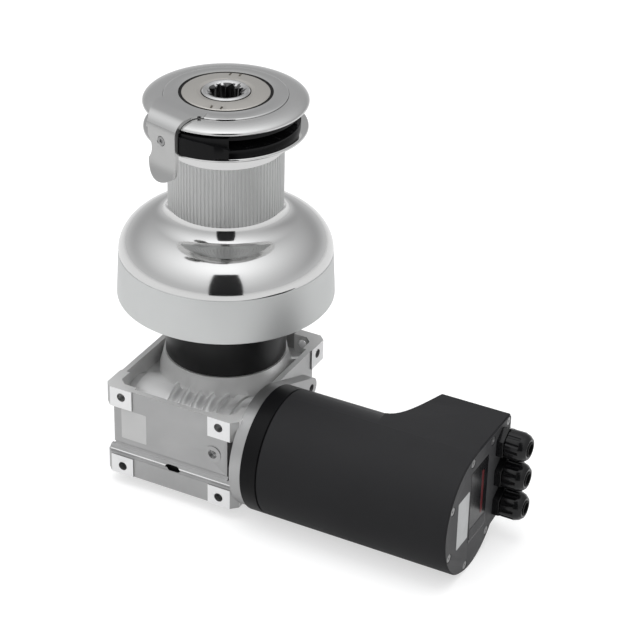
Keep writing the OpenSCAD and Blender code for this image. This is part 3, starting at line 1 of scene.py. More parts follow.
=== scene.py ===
import json
import math
import bmesh
import bpy
import numpy as np
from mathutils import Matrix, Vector

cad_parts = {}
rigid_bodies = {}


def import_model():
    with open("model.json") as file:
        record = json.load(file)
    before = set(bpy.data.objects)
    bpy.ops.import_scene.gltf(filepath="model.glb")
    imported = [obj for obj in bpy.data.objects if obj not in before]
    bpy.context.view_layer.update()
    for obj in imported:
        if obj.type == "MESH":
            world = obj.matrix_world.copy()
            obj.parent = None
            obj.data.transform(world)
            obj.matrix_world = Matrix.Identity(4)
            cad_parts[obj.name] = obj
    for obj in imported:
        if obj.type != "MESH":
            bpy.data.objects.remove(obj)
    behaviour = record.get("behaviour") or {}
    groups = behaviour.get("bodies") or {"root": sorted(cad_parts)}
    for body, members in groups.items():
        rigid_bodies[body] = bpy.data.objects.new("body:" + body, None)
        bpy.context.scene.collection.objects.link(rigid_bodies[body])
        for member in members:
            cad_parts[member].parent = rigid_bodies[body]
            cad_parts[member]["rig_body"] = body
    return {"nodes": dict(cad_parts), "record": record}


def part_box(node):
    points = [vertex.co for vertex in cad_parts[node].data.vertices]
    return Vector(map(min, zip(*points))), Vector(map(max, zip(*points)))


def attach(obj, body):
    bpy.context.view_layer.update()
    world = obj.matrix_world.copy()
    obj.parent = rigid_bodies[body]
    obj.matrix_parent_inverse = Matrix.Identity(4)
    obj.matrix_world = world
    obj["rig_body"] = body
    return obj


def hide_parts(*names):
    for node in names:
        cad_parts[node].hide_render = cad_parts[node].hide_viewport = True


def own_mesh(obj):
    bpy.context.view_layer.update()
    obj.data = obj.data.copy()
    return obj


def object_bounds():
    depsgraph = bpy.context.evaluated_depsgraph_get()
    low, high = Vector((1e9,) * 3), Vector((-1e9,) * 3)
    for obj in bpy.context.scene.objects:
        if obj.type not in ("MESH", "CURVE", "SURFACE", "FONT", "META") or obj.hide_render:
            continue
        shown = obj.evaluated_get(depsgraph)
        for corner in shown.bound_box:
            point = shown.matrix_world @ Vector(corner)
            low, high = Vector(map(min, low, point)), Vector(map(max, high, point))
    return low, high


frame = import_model()
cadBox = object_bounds()
print("stage: frame loaded")

mm = 0.001
deg = math.pi / 180
# the motor's axis as (y, z), in millimetres
motorAxis = (-45.0, -87.95)


# unit vector from the part towards an azimuth and elevation in degrees, counted as the photo's camera is
def direction(azimuth, elevation=0):
    az, el = azimuth * deg, elevation * deg
    return math.sin(az) * math.cos(el), -math.cos(az) * math.cos(el), math.sin(el)


def placeObject(name, data):
    obj = bpy.data.objects.new(name, data)
    bpy.context.scene.collection.objects.link(obj)
    return obj


# camera: the photograph's place, aimed at the drum axis at the skirt rim
cameraSetup = dict(azimuth=29.57, elevation=29.79, distance=1.60988, target=(0, 0, 0.002),
                   focalPixels=2234.56, photoSize=640, axisPixel=(225.91, 288.58), sensor=36.0,
                   clip=(0.05, 50))


def addCamera():
    c = cameraSetup
    back = Vector(direction(c["azimuth"], c["elevation"]))
    data = bpy.data.cameras.new("photoCamera")
    data.sensor_width = c["sensor"]
    data.lens = c["focalPixels"] / c["photoSize"] * c["sensor"]
    data.shift_x = 0.5 - c["axisPixel"][0] / c["photoSize"]
    data.shift_y = c["axisPixel"][1] / c["photoSize"] - 0.5
    data.clip_start, data.clip_end = c["clip"]
    camera = placeObject("photoCamera", data)
    camera.location = Vector(c["target"]) + back * c["distance"]
    camera.rotation_mode = "QUATERNION"
    camera.rotation_quaternion = (-back).to_track_quat("-Z", "Y")
    bpy.context.scene.camera = camera


# studio: pale floor, a room that is bright on the camera's side, large soft lamps and one tall dark card
# with its foot on the floor, which shows only in reflections
studio = dict(floorColour=(0.50, 0.50, 0.50), floorSize=9.0, floorRoughness=0.85, floorLift=0.56,
              glossLift=0.26, roomColour=(0.985, 0.99, 1.0), roomHorizon=0.66, horizonRise=0.45,
              roomBack=0.25, roomFront=0.42, frontPower=1.4, roomTop=0.25)
# soft glows in the room (azimuth, elevation, strength, tightness): highlights with no edge in the steel
glows = [(29.57, 70, 0.40, 6.0), (209.57, 78, 0.42, 5.0), (-65, 50, 0.22, 3.5)]
lamps = [
    dict(name="keyPanel", place=(-1.25, -1.15, 1.35), aim=(0.02, 0, 0.05), size=(1.5, 1.5), power=7),
    dict(name="sidePanel", place=(1.75, -0.75, 0.85), aim=(0.06, 0, 0.0), size=(1.2, 1.6), power=1.2),
    dict(name="backPanel", place=(1.1, 1.5, 1.2), aim=(0, 0, 0.05), size=(1.3, 1.0), power=4),
    dict(name="topPanel", place=(0.0, 0.0, 1.9), aim=(0, 0, 0), size=(1.6, 1.6), power=18),
]
darkCard = dict(distance=2.0, low=-0.134, high=3.8, lowHalf=0.60, highHalf=0.70, footDistance=1.35,
                footHalf=0.40, colour=(0.012, 0.012, 0.013), roughness=0.9)


def addDarkCard():
    c = darkCard
    out, side = (np.array(direction(cameraSetup["azimuth"] + turn)) for turn in (0, 90))
    rows = ((c["footDistance"], c["footHalf"], c["low"]), (c["distance"], c["lowHalf"], c["low"]),
            (c["distance"], c["highHalf"], c["high"]))
    corners = [out * away + side * w + np.array([0, 0, z]) for away, half, z in rows for w in (-half, half)]
    card = makeMesh("darkCard", np.array(corners), [[0, 1, 3, 2], [2, 3, 5, 4]])
    mat = bpy.data.materials.new("cardBlack")
    mat.use_nodes = True
    shader = mat.node_tree.nodes["Principled BSDF"]
    shader.inputs["Base Color"].default_value = (*c["colour"], 1)
    shader.inputs["Roughness"].default_value = c["roughness"]
    card.data.materials.append(mat)
    card.visible_camera = card.visible_diffuse = card.visible_shadow = False


def addStudio():
    bpy.context.scene.view_settings.view_transform = "Standard"
    low = cadBox[0].z
    s = studio["floorSize"]
    corners = np.array([[-s, -s, low], [s, -s, low], [s, s, low], [-s, s, low]])
    floor = makeMesh("studioFloor", corners, [[0, 1, 2, 3]])
    floor.data.materials.append(floorMaterial())
    addDarkCard()
    for lamp in lamps:
        data = bpy.data.lights.new(lamp["name"], "AREA")
        data.shape = "RECTANGLE"
        data.size, data.size_y = lamp["size"]
        data.energy = lamp["power"]
        obj = placeObject(lamp["name"], data)
        obj.location = lamp["place"]
        obj.visible_glossy = False
        obj.rotation_mode = "QUATERNION"
        obj.rotation_quaternion = (Vector(lamp["aim"]) - Vector(lamp["place"])).to_track_quat("-Z", "Y")
    addRoom()


# the room's light: grey behind, brighter on the camera's side and overhead, white where the camera looks
def addRoom():
    world = bpy.data.worlds.new("studioRoom")
    bpy.context.scene.world = world
    world.use_nodes = True
    tree = world.node_tree
    tree.nodes.clear()
    out = tree.nodes.new("ShaderNodeOutputWorld")
    look = tree.nodes.new("ShaderNodeTexCoord").outputs["Generated"]
    parts = tree.nodes.new("ShaderNodeSeparateXYZ")
    tree.links.new(look, parts.inputs[0])
    half = mathNode(tree, "MULTIPLY", facingNode(tree, look, cameraSetup["azimuth"]), 0.5)
    front = mathNode(tree, "POWER", mathNode(tree, "ADD", half, 0.5, clamp=True), studio["frontPower"])
    front = mathNode(tree, "MULTIPLY", front, studio["roomFront"])
    top = mathNode(tree, "MULTIPLY", mathNode(tree, "MAXIMUM", parts.outputs[2], 0.0), studio["roomTop"])
    level = mathNode(tree, "ADD", mathNode(tree, "ADD", front, top), studio["roomBack"])
    for azimuth, elevation, strength, tight in glows:
        miss = mathNode(tree, "SUBTRACT", facingNode(tree, look, azimuth, elevation), 1.0)
        fall = mathNode(tree, "MULTIPLY", miss, tight)
        glow = mathNode(tree, "MULTIPLY", mathNode(tree, "EXPONENT", fall), strength)
        level = mathNode(tree, "ADD", level, glow)
    # near the horizon the room fades into the floor's own level, so no edge shows in the steel
    rise = tree.nodes.new("ShaderNodeMapRange")
    rise.interpolation_type = "SMOOTHSTEP"
    tree.links.new(parts.outputs[2], rise.inputs["Value"])
    rise.inputs["From Min"].default_value = 0.0
    rise.inputs["From Max"].default_value = studio["horizonRise"]
    blend = tree.nodes.new("ShaderNodeMix")
    tree.links.new(rise.outputs["Result"], blend.inputs["Factor"])
    blend.inputs["A"].default_value = studio["roomHorizon"]
    tree.links.new(level, blend.inputs["B"])
    rays = tree.nodes.new("ShaderNodeLightPath")
    mix = tree.nodes.new("ShaderNodeMixShader")
    tree.links.new(rays.outputs["Is Camera Ray"], mix.inputs[0])
    shades = [(studio["roomColour"], blend.outputs["Result"]), ((1, 1, 1), 1.0)]
    for k, (colour, strength) in enumerate(shades):
        shade = tree.nodes.new("ShaderNodeBackground")
        shade.inputs["Color"].default_value = (*colour, 1)
        feed(tree, shade.inputs["Strength"], strength)
        tree.links.new(shade.outputs[0], mix.inputs[k + 1])
    tree.links.new(mix.outputs[0], out.inputs["Surface"])


# 1 where a ray looks straight towards the given direction, -1 where it looks straight away from it
def facingNode(tree, look, azimuth, elevation=0):
    node = tree.nodes.new("ShaderNodeVectorMath")
    node.operation = "DOT_PRODUCT"
    tree.links.new(look, node.inputs[0])
    node.inputs[1].default_value = direction(azimuth, elevation)
    return node.outputs["Value"]


# a pale matt floor that gets a small lift where the camera or the steel looks at it, so it reads white and
# keeps the shadow
def floorMaterial():
    mat = bpy.data.materials.new("studioFloor")
    mat.use_nodes = True
    tree = mat.node_tree
    shader = tree.nodes["Principled BSDF"]
    shader.inputs["Base Color"].default_value = (*studio["floorColour"], 1)
    shader.inputs["Roughness"].default_value = studio["floorRoughness"]
    shader.inputs["Emission Color"].default_value = (1, 1, 1, 1)
    rays = tree.nodes.new("ShaderNodeLightPath")
    seen = mathNode(tree, "MULTIPLY", rays.outputs["Is Camera Ray"], studio["floorLift"])
    shown = mathNode(tree, "MULTIPLY", rays.outputs["Is Glossy Ray"], studio["glossLift"])
    tree.links.new(mathNode(tree, "MAXIMUM", seen, shown), shader.inputs["Emission Strength"])
    return mat


# quads of a grid of points whose rows run along the profile and whose columns run round the axis
def gridFaces(rows, cols, wrapRows=False):
    i, j = np.meshgrid(np.arange(rows if wrapRows else rows - 1), np.arange(cols), indexing="ij")
    nextI, nextJ = (i + 1) % rows, (j + 1) % cols
    quads = np.stack([i * cols + j, i * cols + nextJ, nextI * cols + nextJ, nextI * cols + j], -1)
    return quads.reshape(-1, 4).tolist()


def makeMesh(name, points, faces, sharp=None):
    mesh = bpy.data.meshes.new(name)
    mesh.from_pydata(points.tolist(), [], faces)
    mesh.update()
    if sharp is not None:
        mesh.shade_smooth()
        mesh.set_sharp_from_angle(angle=sharp * deg)
    return placeObject(name, mesh)


# centres and normals of a mesh's faces, in millimetres, for choosing which faces take a second finish
def faceTable(mesh):
    centres = np.empty(len(mesh.polygons) * 3)
    normals = np.empty(len(mesh.polygons) * 3)
    mesh.polygons.foreach_get("center", centres)
    mesh.polygons.foreach_get("normal", normals)
    return centres.reshape(-1, 3) / mm, normals.reshape(-1, 3)


# height below which a node's copy is cut off level: the stripper's tongue ends above the flange
trims = {"line_stripper": 134.4}
# points this close, in millimetres, become one, and faces this flat to each other, in degrees, become one
weld = dict(distance=0.004, flat=0.5)


# a merged copy of a CAD node with smooth curves and small edge rounds, in the node's place; each entry of
# extra is a finish and a test on face centres and normals
def dressNode(node, material, bevel, sharp=32, steps=2, extra=()):
    source = frame["nodes"][node]
    mesh = source.data.copy()
    mesh.name = node + "Skin"
    bm = bmesh.new()
    bm.from_mesh(mesh)
    bmesh.ops.remove_doubles(bm, verts=bm.verts, dist=weld["distance"] * mm)
    bmesh.ops.dissolve_limit(bm, angle_limit=weld["flat"] * deg, verts=bm.verts, edges=bm.edges)
    if node in trims:
        everything = bm.verts[:] + bm.edges[:] + bm.faces[:]
        bmesh.ops.bisect_plane(bm, geom=everything, plane_co=(0, 0, trims[node] * mm), plane_no=(0, 0, -1),
                               clear_outer=True)
        bmesh.ops.holes_fill(bm, edges=[e for e in bm.edges if e.is_boundary])
    bm.to_mesh(mesh)
    bm.free()
    mesh.materials.clear()
    mesh.materials.append(material)
    if extra:
        centres, normals = faceTable(mesh)
        index = np.zeros(len(centres), np.int32)
        for k, (second, test) in enumerate(extra):
            mesh.materials.append(second)
            index[test(centres, normals)] = k + 1
        mesh.polygons.foreach_set("material_index", index)
    mesh.shade_smooth()
    mesh.set_sharp_from_angle(angle=sharp * deg)
    obj = placeObject(node + "Skin", mesh)
    if bevel:
        edge = obj.modifiers.new("edgeRound", "BEVEL")
        edge.width = bevel * mm
        edge.segments = steps
        edge.limit_method = "ANGLE"
        edge.angle_limit = sharp * deg
    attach(obj, source["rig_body"])
    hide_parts(node)
    return obj


nodeSlots = {s["node"]: s["material_slot"] for s in frame["record"]["subparts"]}


# shared shader effects, built once as node groups
def newGroup(name, inputs, outputs):
    group = bpy.data.node_groups.new(name, "ShaderNodeTree")
    for label, value in inputs:
        socket = group.interface.new_socket(label, in_out="INPUT", socket_type="NodeSocketFloat")
        socket.default_value = value
    for label in outputs:
        group.interface.new_socket(label, in_out="OUTPUT", socket_type="NodeSocketFloat")
    return group, group.nodes.new("NodeGroupInput"), group.nodes.new("NodeGroupOutput")


# gives a socket its number, or links it to another node's output
def feed(tree, socket, value):
    if isinstance(value, (int, float)):
        socket.default_value = value
    else:
        tree.links.new(value, socket)


def mathNode(tree, op, a, b=None, clamp=False):
    node = tree.nodes.new("ShaderNodeMath")
    node.operation = op
    node.use_clamp = clamp
    feed(tree, node.inputs[0], a)
    if b is not None:
        feed(tree, node.inputs[1], b)
    return node.outputs[0]


def noiseNode(tree, vector, scale, detail=3.0, rough=0.55):
    node = tree.nodes.new("ShaderNodeTexNoise")
    node.inputs["Detail"].default_value = detail
    node.inputs["Roughness"].default_value = rough
    feed(tree, node.inputs["Scale"], scale)
    tree.links.new(vector, node.inputs["Vector"])
    return node.outputs["Fac"]


# cast or moulded grain: two noises of different size, as a height, and a slow mottling mask
def grainGroup(coarseScale=0.31):
    group, gin, gout = newGroup("finishGrain", [("Scale", 2500.0), ("Mottle", 60.0)], ["Height", "Mask"])
    coord = group.nodes.new("ShaderNodeTexCoord").outputs["Object"]
    fine = noiseNode(group, coord, gin.outputs["Scale"], detail=2.0)
    coarse = noiseNode(group, coord, mathNode(group, "MULTIPLY", gin.outputs["Scale"], coarseScale))
    slow = noiseNode(group, coord, gin.outputs["Mottle"], detail=4.0)
    height = mathNode(group, "ADD", *[mathNode(group, "MULTIPLY", noise, 0.5) for noise in (fine, coarse)])
    group.links.new(height, gout.inputs["Height"])
    group.links.new(slow, gout.inputs["Mask"])
    return group


# lathe marks round an axis: noise read along radius and length only, so it runs in rings; an axis along X
# is the motor's, at the height and depth given
def turnedGroup(name, axis, centre=(0, 0)):
    group, gin, gout = newGroup(name, [("Scale", 900.0), ("Smudge", 25.0)], ["Height", "Mask"])
    coord = group.nodes.new("ShaderNodeTexCoord").outputs["Object"]
    parts = group.nodes.new("ShaderNodeSeparateXYZ")
    group.links.new(coord, parts.inputs[0])
    along = parts.outputs["XYZ".index(axis)]
    across = [parts.outputs[k] for k in range(3) if "XYZ"[k] != axis]
    across = [mathNode(group, "SUBTRACT", value, mid) for value, mid in zip(across, centre)]
    squares = [mathNode(group, "MULTIPLY", value, value) for value in across]
    radius = mathNode(group, "SQRT", mathNode(group, "ADD", *squares))
    join = group.nodes.new("ShaderNodeCombineXYZ")
    group.links.new(radius, join.inputs[0])
    group.links.new(along, join.inputs[2])
    rings = noiseNode(group, join.outputs[0], gin.outputs["Scale"], detail=4.0, rough=0.7)
    smudge = noiseNode(group, coord, gin.outputs["Smudge"], detail=5.0, rough=0.6)
    group.links.new(rings, gout.inputs["Height"])
    group.links.new(smudge, gout.inputs["Mask"])
    return group


effects = {"grain": grainGroup(), "turned": turnedGroup("turnedRings", "Z"),
           "turnedMotor": turnedGroup("turnedMotorRings", "X", [v * mm for v in motorAxis])}


# one finish: colour and roughness wander with the slow mask, and the fine height drives the bump
def finishMaterial(name, colour, roughness, metallic=0.0, effect="grain", scale=2500.0, slow=60.0, bump=0.1,
                   depth=0.02, vary=0.08, roughVary=0.1, fineShare=0.6, coat=0.0, dark=0.85, specular=0.5):
    mat = bpy.data.materials.new(name)
    mat.use_nodes = True
    tree = mat.node_tree
    shader = tree.nodes["Principled BSDF"]
    shader.inputs["Metallic"].default_value = metallic
    shader.inputs["Specular IOR Level"].default_value = specular
    shader.inputs["Coat Weight"].default_value = coat
    group = tree.nodes.new("ShaderNodeGroup")
    group.node_tree = effects[effect]
    group.inputs[0].default_value = scale
    group.inputs[1].default_value = slow
    mix = tree.nodes.new("ShaderNodeMix")
    mix.data_type = "RGBA"
    share = mathNode(tree, "MULTIPLY", group.outputs["Mask"], vary, clamp=True)
    tree.links.new(share, mix.inputs["Factor"])
    mix.inputs["A"].default_value = (*colour, 1)
    mix.inputs["B"].default_value = (*[c * dark for c in colour], 1)
    tree.links.new(mix.outputs["Result"], shader.inputs["Base Color"])
    lift = mathNode(tree, "SUBTRACT", group.outputs["Mask"], 0.5)
    fine = mathNode(tree, "SUBTRACT", group.outputs["Height"], 0.5)
    wander = mathNode(tree, "ADD", mathNode(tree, "MULTIPLY", lift, roughVary),
                      mathNode(tree, "MULTIPLY", fine, roughVary * fineShare))
    tree.links.new(mathNode(tree, "ADD", wander, roughness, clamp=True), shader.inputs["Roughness"])
    node = tree.nodes.new("ShaderNodeBump")
    node.inputs["Strength"].default_value = bump
    node.inputs["Distance"].default_value = depth * mm
    tree.links.new(group.outputs["Height"], node.inputs["Height"])
    tree.links.new(node.outputs["Normal"], shader.inputs["Normal"])
    return mat


finishes = {
    "polished_steel": dict(colour=(0.71, 0.71, 0.705), roughness=0.09, metallic=1, effect="turned",
                           scale=700, slow=18, bump=0.04, vary=0.4, roughVary=0.05),
    "satin_steel": dict(colour=(0.68, 0.685, 0.68), roughness=0.30, metallic=1, effect="turned", scale=1500,
                        slow=24, bump=0.12, vary=0.5, roughVary=0.1),
    "satin_band": dict(colour=(0.68, 0.69, 0.685), roughness=0.50, metallic=1, effect="turned", scale=1600,
                       slow=14, bump=0.10, vary=0.4, roughVary=0.08),
    "grip_steel": dict(colour=(0.62, 0.625, 0.62), roughness=0.52, metallic=1, effect="turned", scale=900,
                       slow=30, bump=0.02, vary=0.5, roughVary=0.06),
    "crown_steel": dict(colour=(0.70, 0.70, 0.695), roughness=0.20, metallic=1, effect="turned", scale=1500,
                        slow=24, bump=0.1, vary=0.45, roughVary=0.08),
    # painted shade: a darker copy of the arm's steel for its leg below the bend
    "arm_painted_shade": dict(colour=(0.52, 0.52, 0.515), roughness=0.30, metallic=1, scale=900, slow=40, bump=0.08,
                      vary=0.5, roughVary=0.1),
    "cap_steel": dict(colour=(0.62, 0.60, 0.565), roughness=0.42, metallic=1, effect="turned", scale=2200,
                      slow=40, bump=0.2, vary=0.6, roughVary=0.12),
    "bright_steel": dict(colour=(0.66, 0.66, 0.66), roughness=0.2, metallic=1, effect="turned", scale=1500,
                         slow=60, bump=0.1, vary=0.5),
    "cast_aluminium": dict(colour=(0.46, 0.46, 0.46), roughness=0.40, metallic=0.9, scale=1500, slow=45,
                           bump=0.35, depth=0.06, vary=0.9, roughVary=0.22),
    # painted light: a paler, shinier copy of the cast aluminium for the open recess, standing in for light
    # the skirt keeps out
    "recess_painted_light": dict(colour=(0.80, 0.80, 0.795), roughness=0.34, metallic=0.6, scale=1500, slow=45,
                        bump=0.15, depth=0.04, vary=0.9, roughVary=0.2),
    "machined_pad": dict(colour=(0.93, 0.93, 0.93), roughness=0.5, metallic=0.25, scale=1800, slow=60,
                         bump=0.1, vary=0.3, roughVary=0.1),
    "machined_rim": dict(colour=(0.62, 0.62, 0.615), roughness=0.42, metallic=0.35, scale=1800, slow=50,
                         bump=0.2, depth=0.04, vary=0.8, roughVary=0.15),
    "winch_casting": dict(colour=(0.30, 0.31, 0.32), roughness=0.5, metallic=0.8, bump=0.3, depth=0.05,
                          vary=0.6),
    "black_anodised": dict(colour=(0.009, 0.009, 0.0095), roughness=0.38, effect="turned", scale=1500,
                           slow=30, bump=0.1, vary=0.7, roughVary=0.12, specular=0.28),
    "motor_black": dict(colour=(0.023, 0.023, 0.0242), roughness=0.5, scale=2600, slow=22, bump=0.3,
                        depth=0.03, vary=0.8, roughVary=0.12, specular=0.08),
    "bell_black": dict(colour=(0.006, 0.006, 0.0065), roughness=0.34, effect="turnedMotor", scale=1700,
                       slow=30, bump=0.12, vary=0.7, roughVary=0.12, specular=0.1),
    "plate_grey": dict(colour=(0.060, 0.060, 0.062), roughness=0.5, scale=2600, slow=40, bump=0.3,
                       depth=0.03, vary=0.7, specular=0.25),
    "black_plastic": dict(colour=(0.005, 0.005, 0.0055), roughness=0.22, scale=1200, slow=30, bump=0.05,
                          vary=0.5, roughVary=0.1, specular=0.15),
    "gland_nylon": dict(colour=(0.005, 0.005, 0.0055), roughness=0.20, scale=3500, slow=70, bump=0.15,
                        vary=0.6, specular=0.35),
    "seal_rubber": dict(colour=(0.007, 0.007, 0.007), roughness=0.6, scale=3000, slow=70, bump=0.3,
                        vary=0.6, specular=0.15),
    "screw_steel": dict(colour=(0.36, 0.36, 0.36), roughness=0.42, metallic=0.9, scale=2500, slow=80,
                        bump=0.15, vary=0.6),
    # painted shade: a dark copy of the spindle's steel for the inside of the drive socket, standing in for
    # the shade in it
    "socket_painted_shade": dict(colour=(0.10, 0.10, 0.10), roughness=0.35, metallic=0.8, scale=2500, slow=80,
                         bump=0.1, vary=0.6),
    "label_white": dict(colour=(0.62, 0.63, 0.63), roughness=0.42, scale=900, slow=90, bump=0.05, vary=0.9,
                        dark=0.7),
    "label_black": dict(colour=(0.009, 0.009, 0.010), roughness=0.22, scale=900, slow=50, bump=0.05,
                        vary=0.6),
    "label_red": dict(colour=(0.12, 0.008, 0.010), roughness=0.3, scale=900, slow=50, bump=0.05, vary=0.6),
    "white_nylon": dict(colour=(0.75, 0.74, 0.70), roughness=0.5, vary=0.5),
    "bronze": dict(colour=(0.60, 0.40, 0.18), roughness=0.3, metallic=1, vary=0.7),
    "gear_steel": dict(colour=(0.38, 0.39, 0.41), roughness=0.35, metallic=1, vary=0.7),
    "iron": dict(colour=(0.22, 0.22, 0.23), roughness=0.5, metallic=0.9, vary=0.8),
    "copper": dict(colour=(0.62, 0.31, 0.16), roughness=0.35, metallic=0.9, vary=0.8, scale=1800),
    "magnet": dict(colour=(0.10, 0.10, 0.11), roughness=0.55, vary=0.8),
    "board_green": dict(colour=(0.03, 0.17, 0.07), roughness=0.4, vary=0.6, coat=0.3),
    "gasket": dict(colour=(0.08, 0.13, 0.11), roughness=0.7, vary=0.7),
}
materials = {name: finishMaterial(name, **values) for name, values in finishes.items()}
print("stage: materials made")


# section curves, in millimetres
def arcPoints(cx, cy, rx, ry, start, end, count):
    t = np.linspace(start, end, count) * deg
    return np.stack([cx + rx * np.cos(t), cy + ry * np.sin(t)], -1)


# cubic curve from a to d that leaves towards b and arrives from c
def curvePoints(a, b, c, d, count):
    t = np.linspace(0, 1, count)[:, None]
    a, b, c, d = (np.array(p, float) for p in (a, b, c, d))
    return (1 - t) ** 3 * a + 3 * t * (1 - t) ** 2 * b + 3 * t * t * (1 - t) * c + t ** 3 * d


# closed outline through corners (x, y, radius), each corner cut by an arc of about its radius, which takes
# no more than the given share of a side; a corner flatter than straight, in radians, is kept as it is
def roundedSection(corners, steps=4, share=0.48, straight=0.01):
    pts = np.array([c[:2] for c in corners], float)
    out = []
    for k, here in enumerate(pts):
        radius = corners[k][2]
        toLast, toNext = pts[k - 1] - here, pts[(k + 1) % len(pts)] - here
        lenLast, lenNext = np.linalg.norm(toLast), np.linalg.norm(toNext)
        toLast, toNext = toLast / lenLast, toNext / lenNext
        half = math.acos(max(-1, min(1, float(toLast @ toNext)))) / 2
        if radius <= 0 or half > math.pi / 2 - straight:
            out.append(here[None])
            continue
        back = min(radius / math.tan(half), share * lenLast, share * lenNext)
        start, end = here + toLast * back, here + toNext * back
        t = np.linspace(0, 1, steps + 1)[:, None]
        w = 2 * t * (1 - t) * math.sin(half)
        out.append(((1 - t) ** 2 * start + w * here + t ** 2 * end) / ((1 - t) ** 2 + w + t ** 2))
    return np.concatenate(out)


# a closed section (radius, height) turned round Z; bands is a second finish and a test on the middles of
# the section's sides, and finish is for a piece that doesn't look like the rest of its slot
def lathePiece(name, section, body, slotName, nodes, turns=256, sharp=30, bands=None, finish=None):
    section = np.asarray(section, float)
    angle = np.arange(turns) * 2 * math.pi / turns
    radius, height = section[:, :1], np.repeat(section[:, 1:], turns, 1)
    points = np.stack([radius * np.cos(angle), radius * np.sin(angle), height], -1).reshape(-1, 3) * mm
    obj = makeMesh(name, points, gridFaces(len(section), turns, wrapRows=True), sharp)
    obj.data.materials.append(materials[finish or slotName])
    if bands is not None:
        second, test = bands
        obj.data.materials.append(second)
        middles = (section + np.roll(section, -1, 0)) / 2
        obj.data.polygons.foreach_set("material_index", np.repeat(test(middles), turns).astype(np.int32))
    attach(obj, body)
    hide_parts(*nodes)


# skirt: satin band, shoulder line, polished dome and the sweep up to the drum, whose curve leaves the dome
# over the share lead of its width and arrives at the drum over the share rise of its height
skirtSizes = dict(rim=78.5, rimHeight=2.0, shoulder=76.9, shoulderHeight=35.6, domeCentre=44.0, domeTop=62.0,
                  sweepEnd=52.0, lead=0.55, rise=0.6, drumRadius=41.1, footHeight=73.3, hub=38.0,
                  hubDrop=1.0, wall=3.0, edge=0.8, line=0.35)


def addSkirt():
    s = skirtSizes
    wide, tall = s["shoulder"] - s["domeCentre"], s["domeTop"] - s["shoulderHeight"]
    start = math.asin((s["sweepEnd"] - s["domeCentre"]) / wide)
    slope = -tall / wide * math.tan(start)
    dome = arcPoints(s["domeCentre"], s["shoulderHeight"], wide, tall, 0, 90 - start / deg, count=44)
    end = dome[-1]
    lean = s["sweepEnd"] - s["drumRadius"]
    sweep = curvePoints(end, end - s["lead"] * lean * np.array([1, slope]),
                        (s["drumRadius"], s["footHeight"] - s["rise"] * (s["footHeight"] - s["domeTop"])),
                        (s["drumRadius"], s["footHeight"]), count=28)
    band = roundedSection([(s["rim"] - s["wall"], s["rimHeight"], s["edge"]),
                           (s["rim"], s["rimHeight"], s["edge"]),
                           (s["shoulder"], s["shoulderHeight"] - s["line"], 0),
                           (s["shoulder"] - s["line"], s["shoulderHeight"], 0)])
    inner = arcPoints(s["domeCentre"], s["shoulderHeight"], wide - s["wall"], tall - s["wall"],
                      90 - start / deg, 0, count=20)
    section = np.concatenate([band, dome[1:], sweep[1:], [[s["hub"], s["footHeight"]],
                              [s["hub"], s["domeTop"] - s["wall"] - s["hubDrop"]]], inner])
    lathePiece("drumSkirt", section, "drum", "polished_steel", ["drum_skirt"],
               bands=(materials["satin_band"], lambda mid: mid[:, 1] < s["shoulderHeight"]))


# flange under the lower jaw, with its rounded edge and the hub that carries the jaw rings
flangeSizes = dict(bore=30.0, drumTop=131.3, foot=45.1, radius=57.4, thickness=2.7, hub=36.0, top=150.2)


def addJawFlange():
    s = flangeSizes
    half = s["thickness"] / 2
    edge = arcPoints(s["radius"] - half, s["drumTop"] + half, half, half, -90, 90, count=13)
    section = np.concatenate([[[s["bore"], s["drumTop"]], [s["foot"], s["drumTop"]]], edge,
                              [[s["hub"], s["drumTop"] + s["thickness"]], [s["hub"], s["top"]],
                               [s["bore"], s["top"]]]])
    lathePiece("lowerJawFlange", section, "drum", "polished_steel", ["lower_jaw_flange"])


# crown: a domed ring over the upper jaw, turned under at its rim
crownSizes = dict(bore=23.5, floor=150.2, floorThickness=2.5, radius=57.7, rimWidth=3.2, rimDrop=2.0,
                  rimEnd=-6, disc=43.5, rise=4.0)


def addCrown():
    s = crownSizes
    edge = s["floor"] + s["rimDrop"]
    under = arcPoints(s["radius"] - s["rimWidth"], edge, s["rimWidth"], s["rimDrop"], -90, s["rimEnd"],
                      count=10)
    dome = arcPoints(s["disc"], edge, s["radius"] - s["disc"], s["rise"], 0, 90, count=26)
    top = s["floor"] + s["floorThickness"]
    section = np.concatenate([[[s["bore"], s["floor"]]], under, dome, [[s["disc"], top], [s["bore"], top]]])
    lathePiece("crownRing", section, "drum", "polished_steel", ["crown"], finish="crown_steel")


# black column between the deck and the gearbox
spacerSizes = dict(radius=44.0, bore=35.0, bottom=-45.8, top=0.0, edge=0.6)


def addSpacer():
    s = spacerSizes
    section = roundedSection([(s["bore"], s["bottom"], 0), (s["radius"], s["bottom"], s["edge"]),
                              (s["radius"], s["top"], s["edge"]), (s["bore"], s["top"], 0)])
    lathePiece("spacerColumn", section, nodeBody("spacer_column"), "black_anodised", ["spacer_column"])


def nodeBody(node):
    return frame["nodes"][node]["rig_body"]


# labels on the end plate, given by their corners (across, up) from the motor axis
labels = [
    dict(name="ratingLabel", finish="label_white", corners=[(-27, -17), (-9, -17), (-9, 21), (-27, 21)]),
    dict(name="noticeLabel", finish="label_black", corners=[(-7, -24), (21, -24), (21, 34), (-7, 34)]),
    dict(name="noticeBand", finish="label_red", lift=0.22,
         corners=[(11, -9), (14, -9), (14, 26), (11, 26)]),
    dict(name="noticeFoot", finish="plate_grey", lift=0.22,
         corners=[(-6, -22), (20, -22), (20, -13), (-6, -13)]),
]
# the paler patch on the front of the gearbox, given by its corners (x, z), and the depth y of that face
barePatch = dict(name="barePatch", finish="machined_rim", thick=0.08,
                 corners=[(-40.6, -93.0), (-19.8, -93.0), (-19.8, -68.4), (-40.6, -68.4)])
frontFace = -80.5
# every sheet: corner radius, thickness, the share of it that the eased rim takes, and the gap below
sheetSizes = dict(corner=1.0, thick=0.2, rim=0.6, gap=0.01)


